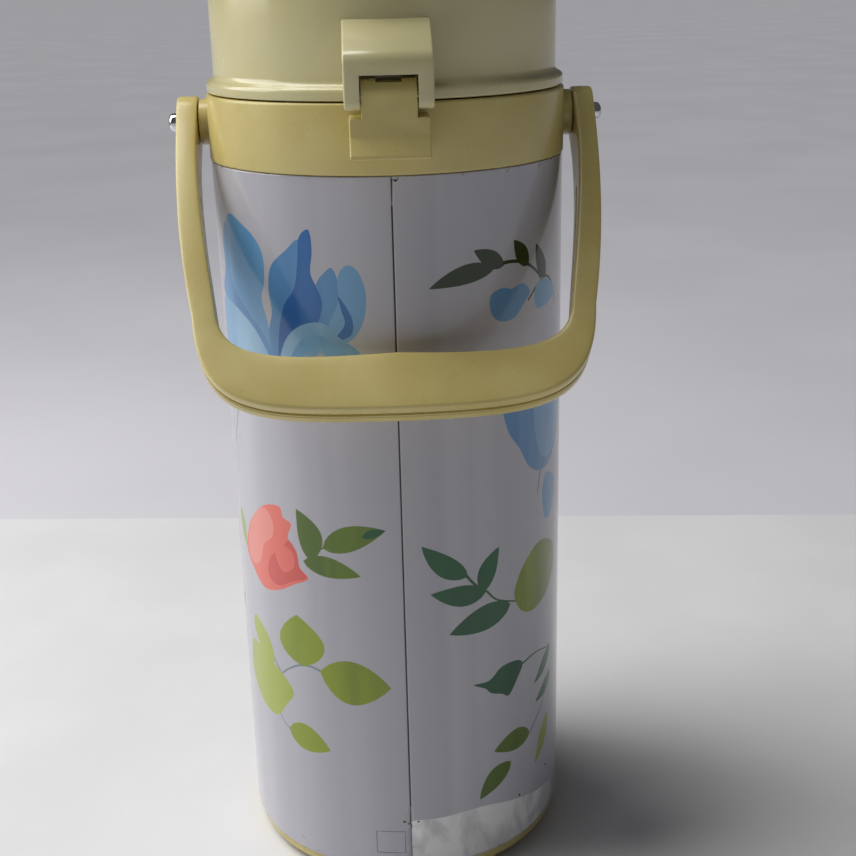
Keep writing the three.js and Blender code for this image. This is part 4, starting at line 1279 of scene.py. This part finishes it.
# ---- floor, light and camera
def ground(name, low, high, z, light, dark, grain):
    """A level sheet between two corners, turned a little about +Z."""
    steps, turn_deg = 24, -4.9
    rings = [[(x, y, z) for x in np.linspace(low[0], high[0], steps + 1)]
             for y in np.linspace(low[1], high[1], steps + 1)]
    mesh = mesh_from(name, *skin(rings, sheet=True))
    if mesh.polygons[0].normal.z < 0:
        mesh.flip_normals()
    moved(mesh, Matrix.Rotation(math.radians(turn_deg), 4, "Z"))
    obj = bpy.data.objects.new(name, mesh)
    scene.collection.objects.link(obj)
    shader = Shader(name, Roughness=0.6)
    tone = shader.spread(shader.noise(grain, 5), 0.3, 0.7)
    shader.colour(shader.mix(tone, light, dark))
    shader.bump(shader.noise(240, 4), 0.05, 0.4)
    mesh.materials.append(shader.material)


def build_stage():
    """A white table top on a pale grey floor, which stands in for the wall."""
    edge, far = 317, 60000
    ground("table_top", (-1600, -edge), (1600, 1900), -0.2,
           (232, 232, 234), (225, 225, 228), 9)
    ground("far_floor", (-far, -far), (far, far), -6,
           (221, 220, 227), (215, 214, 221), 3.2)


def lamp(name, kind, energy, place, forwards, **settings):
    """A light at a place in metres that shines along a direction."""
    data = bpy.data.lights.new(name, kind)
    data.energy = energy
    data.color = (1.0, 0.99, 0.97)
    for setting, value in settings.items():
        setattr(data, setting, value)
    obj = bpy.data.objects.new(name, data)
    scene.collection.objects.link(obj)
    obj.location = place
    obj.rotation_euler = Vector(forwards).to_track_quat("-Z", "Y").to_euler()


def build_lights():
    """Soft light from above and a large window on the photograph's left."""
    overhead = Vector((0.36, -0.06, 0.93))
    lamp("ceiling", "SUN", 1.55, (0, 0, 2), -overhead, angle=math.radians(34))
    window, target = Vector((0.86, -0.10, 0.74)), Vector((0, 0, 0.15))
    lamp("window", "AREA", 8.0, window, target - window, shape="RECTANGLE", size=0.8, size_y=0.9)
    world = bpy.data.worlds.new("studio")
    world.use_nodes = True
    background = world.node_tree.nodes["Background"]
    background.inputs["Color"].default_value = (0.82, 0.83, 0.87, 1)
    background.inputs["Strength"].default_value = 0.09
    scene.world = world
    scene.view_settings.view_transform = "Standard"


def build_camera():
    """At eye height behind the pot, looking down at it."""
    place = Vector((0, 0.5101, 0.3477))
    yaw, pitch, roll, round_pot = 0.0257, 0.3305, -0.0237, -0.014
    level = math.cos(pitch)
    forward = Vector((-math.sin(yaw) * level, -math.cos(yaw) * level, -math.sin(pitch)))
    right = Vector((-math.cos(yaw), math.sin(yaw), 0))
    up = right.cross(forward)
    tilted_right = math.cos(roll) * right + math.sin(roll) * up
    tilted_up = math.cos(roll) * up - math.sin(roll) * right
    camera = bpy.data.cameras.new("camera")
    camera.lens = 55
    camera.sensor_width = 36
    camera.clip_start = 0.01
    obj = bpy.data.objects.new("camera", camera)
    scene.collection.objects.link(obj)
    axes = Matrix((tilted_right, tilted_up, -forward)).transposed()
    turn = Matrix.Rotation(round_pot, 4, "Z")
    obj.matrix_world = turn @ Matrix.Translation(place) @ axes.to_4x4()
    scene.camera = obj


for build in (build_camera, build_stage, build_lights, build_shell, build_base, build_liner,
              build_pipes, build_shoulder, build_spout, build_handle, build_screws, build_lid):
    build()
pin("hinge_pin", 1.8, HINGE_Y, HINGE_Z)
pin("latch_pin", 1.1, LATCH_Y, LATCH_Z)
build_latch()
build_pump()
build_plunger()
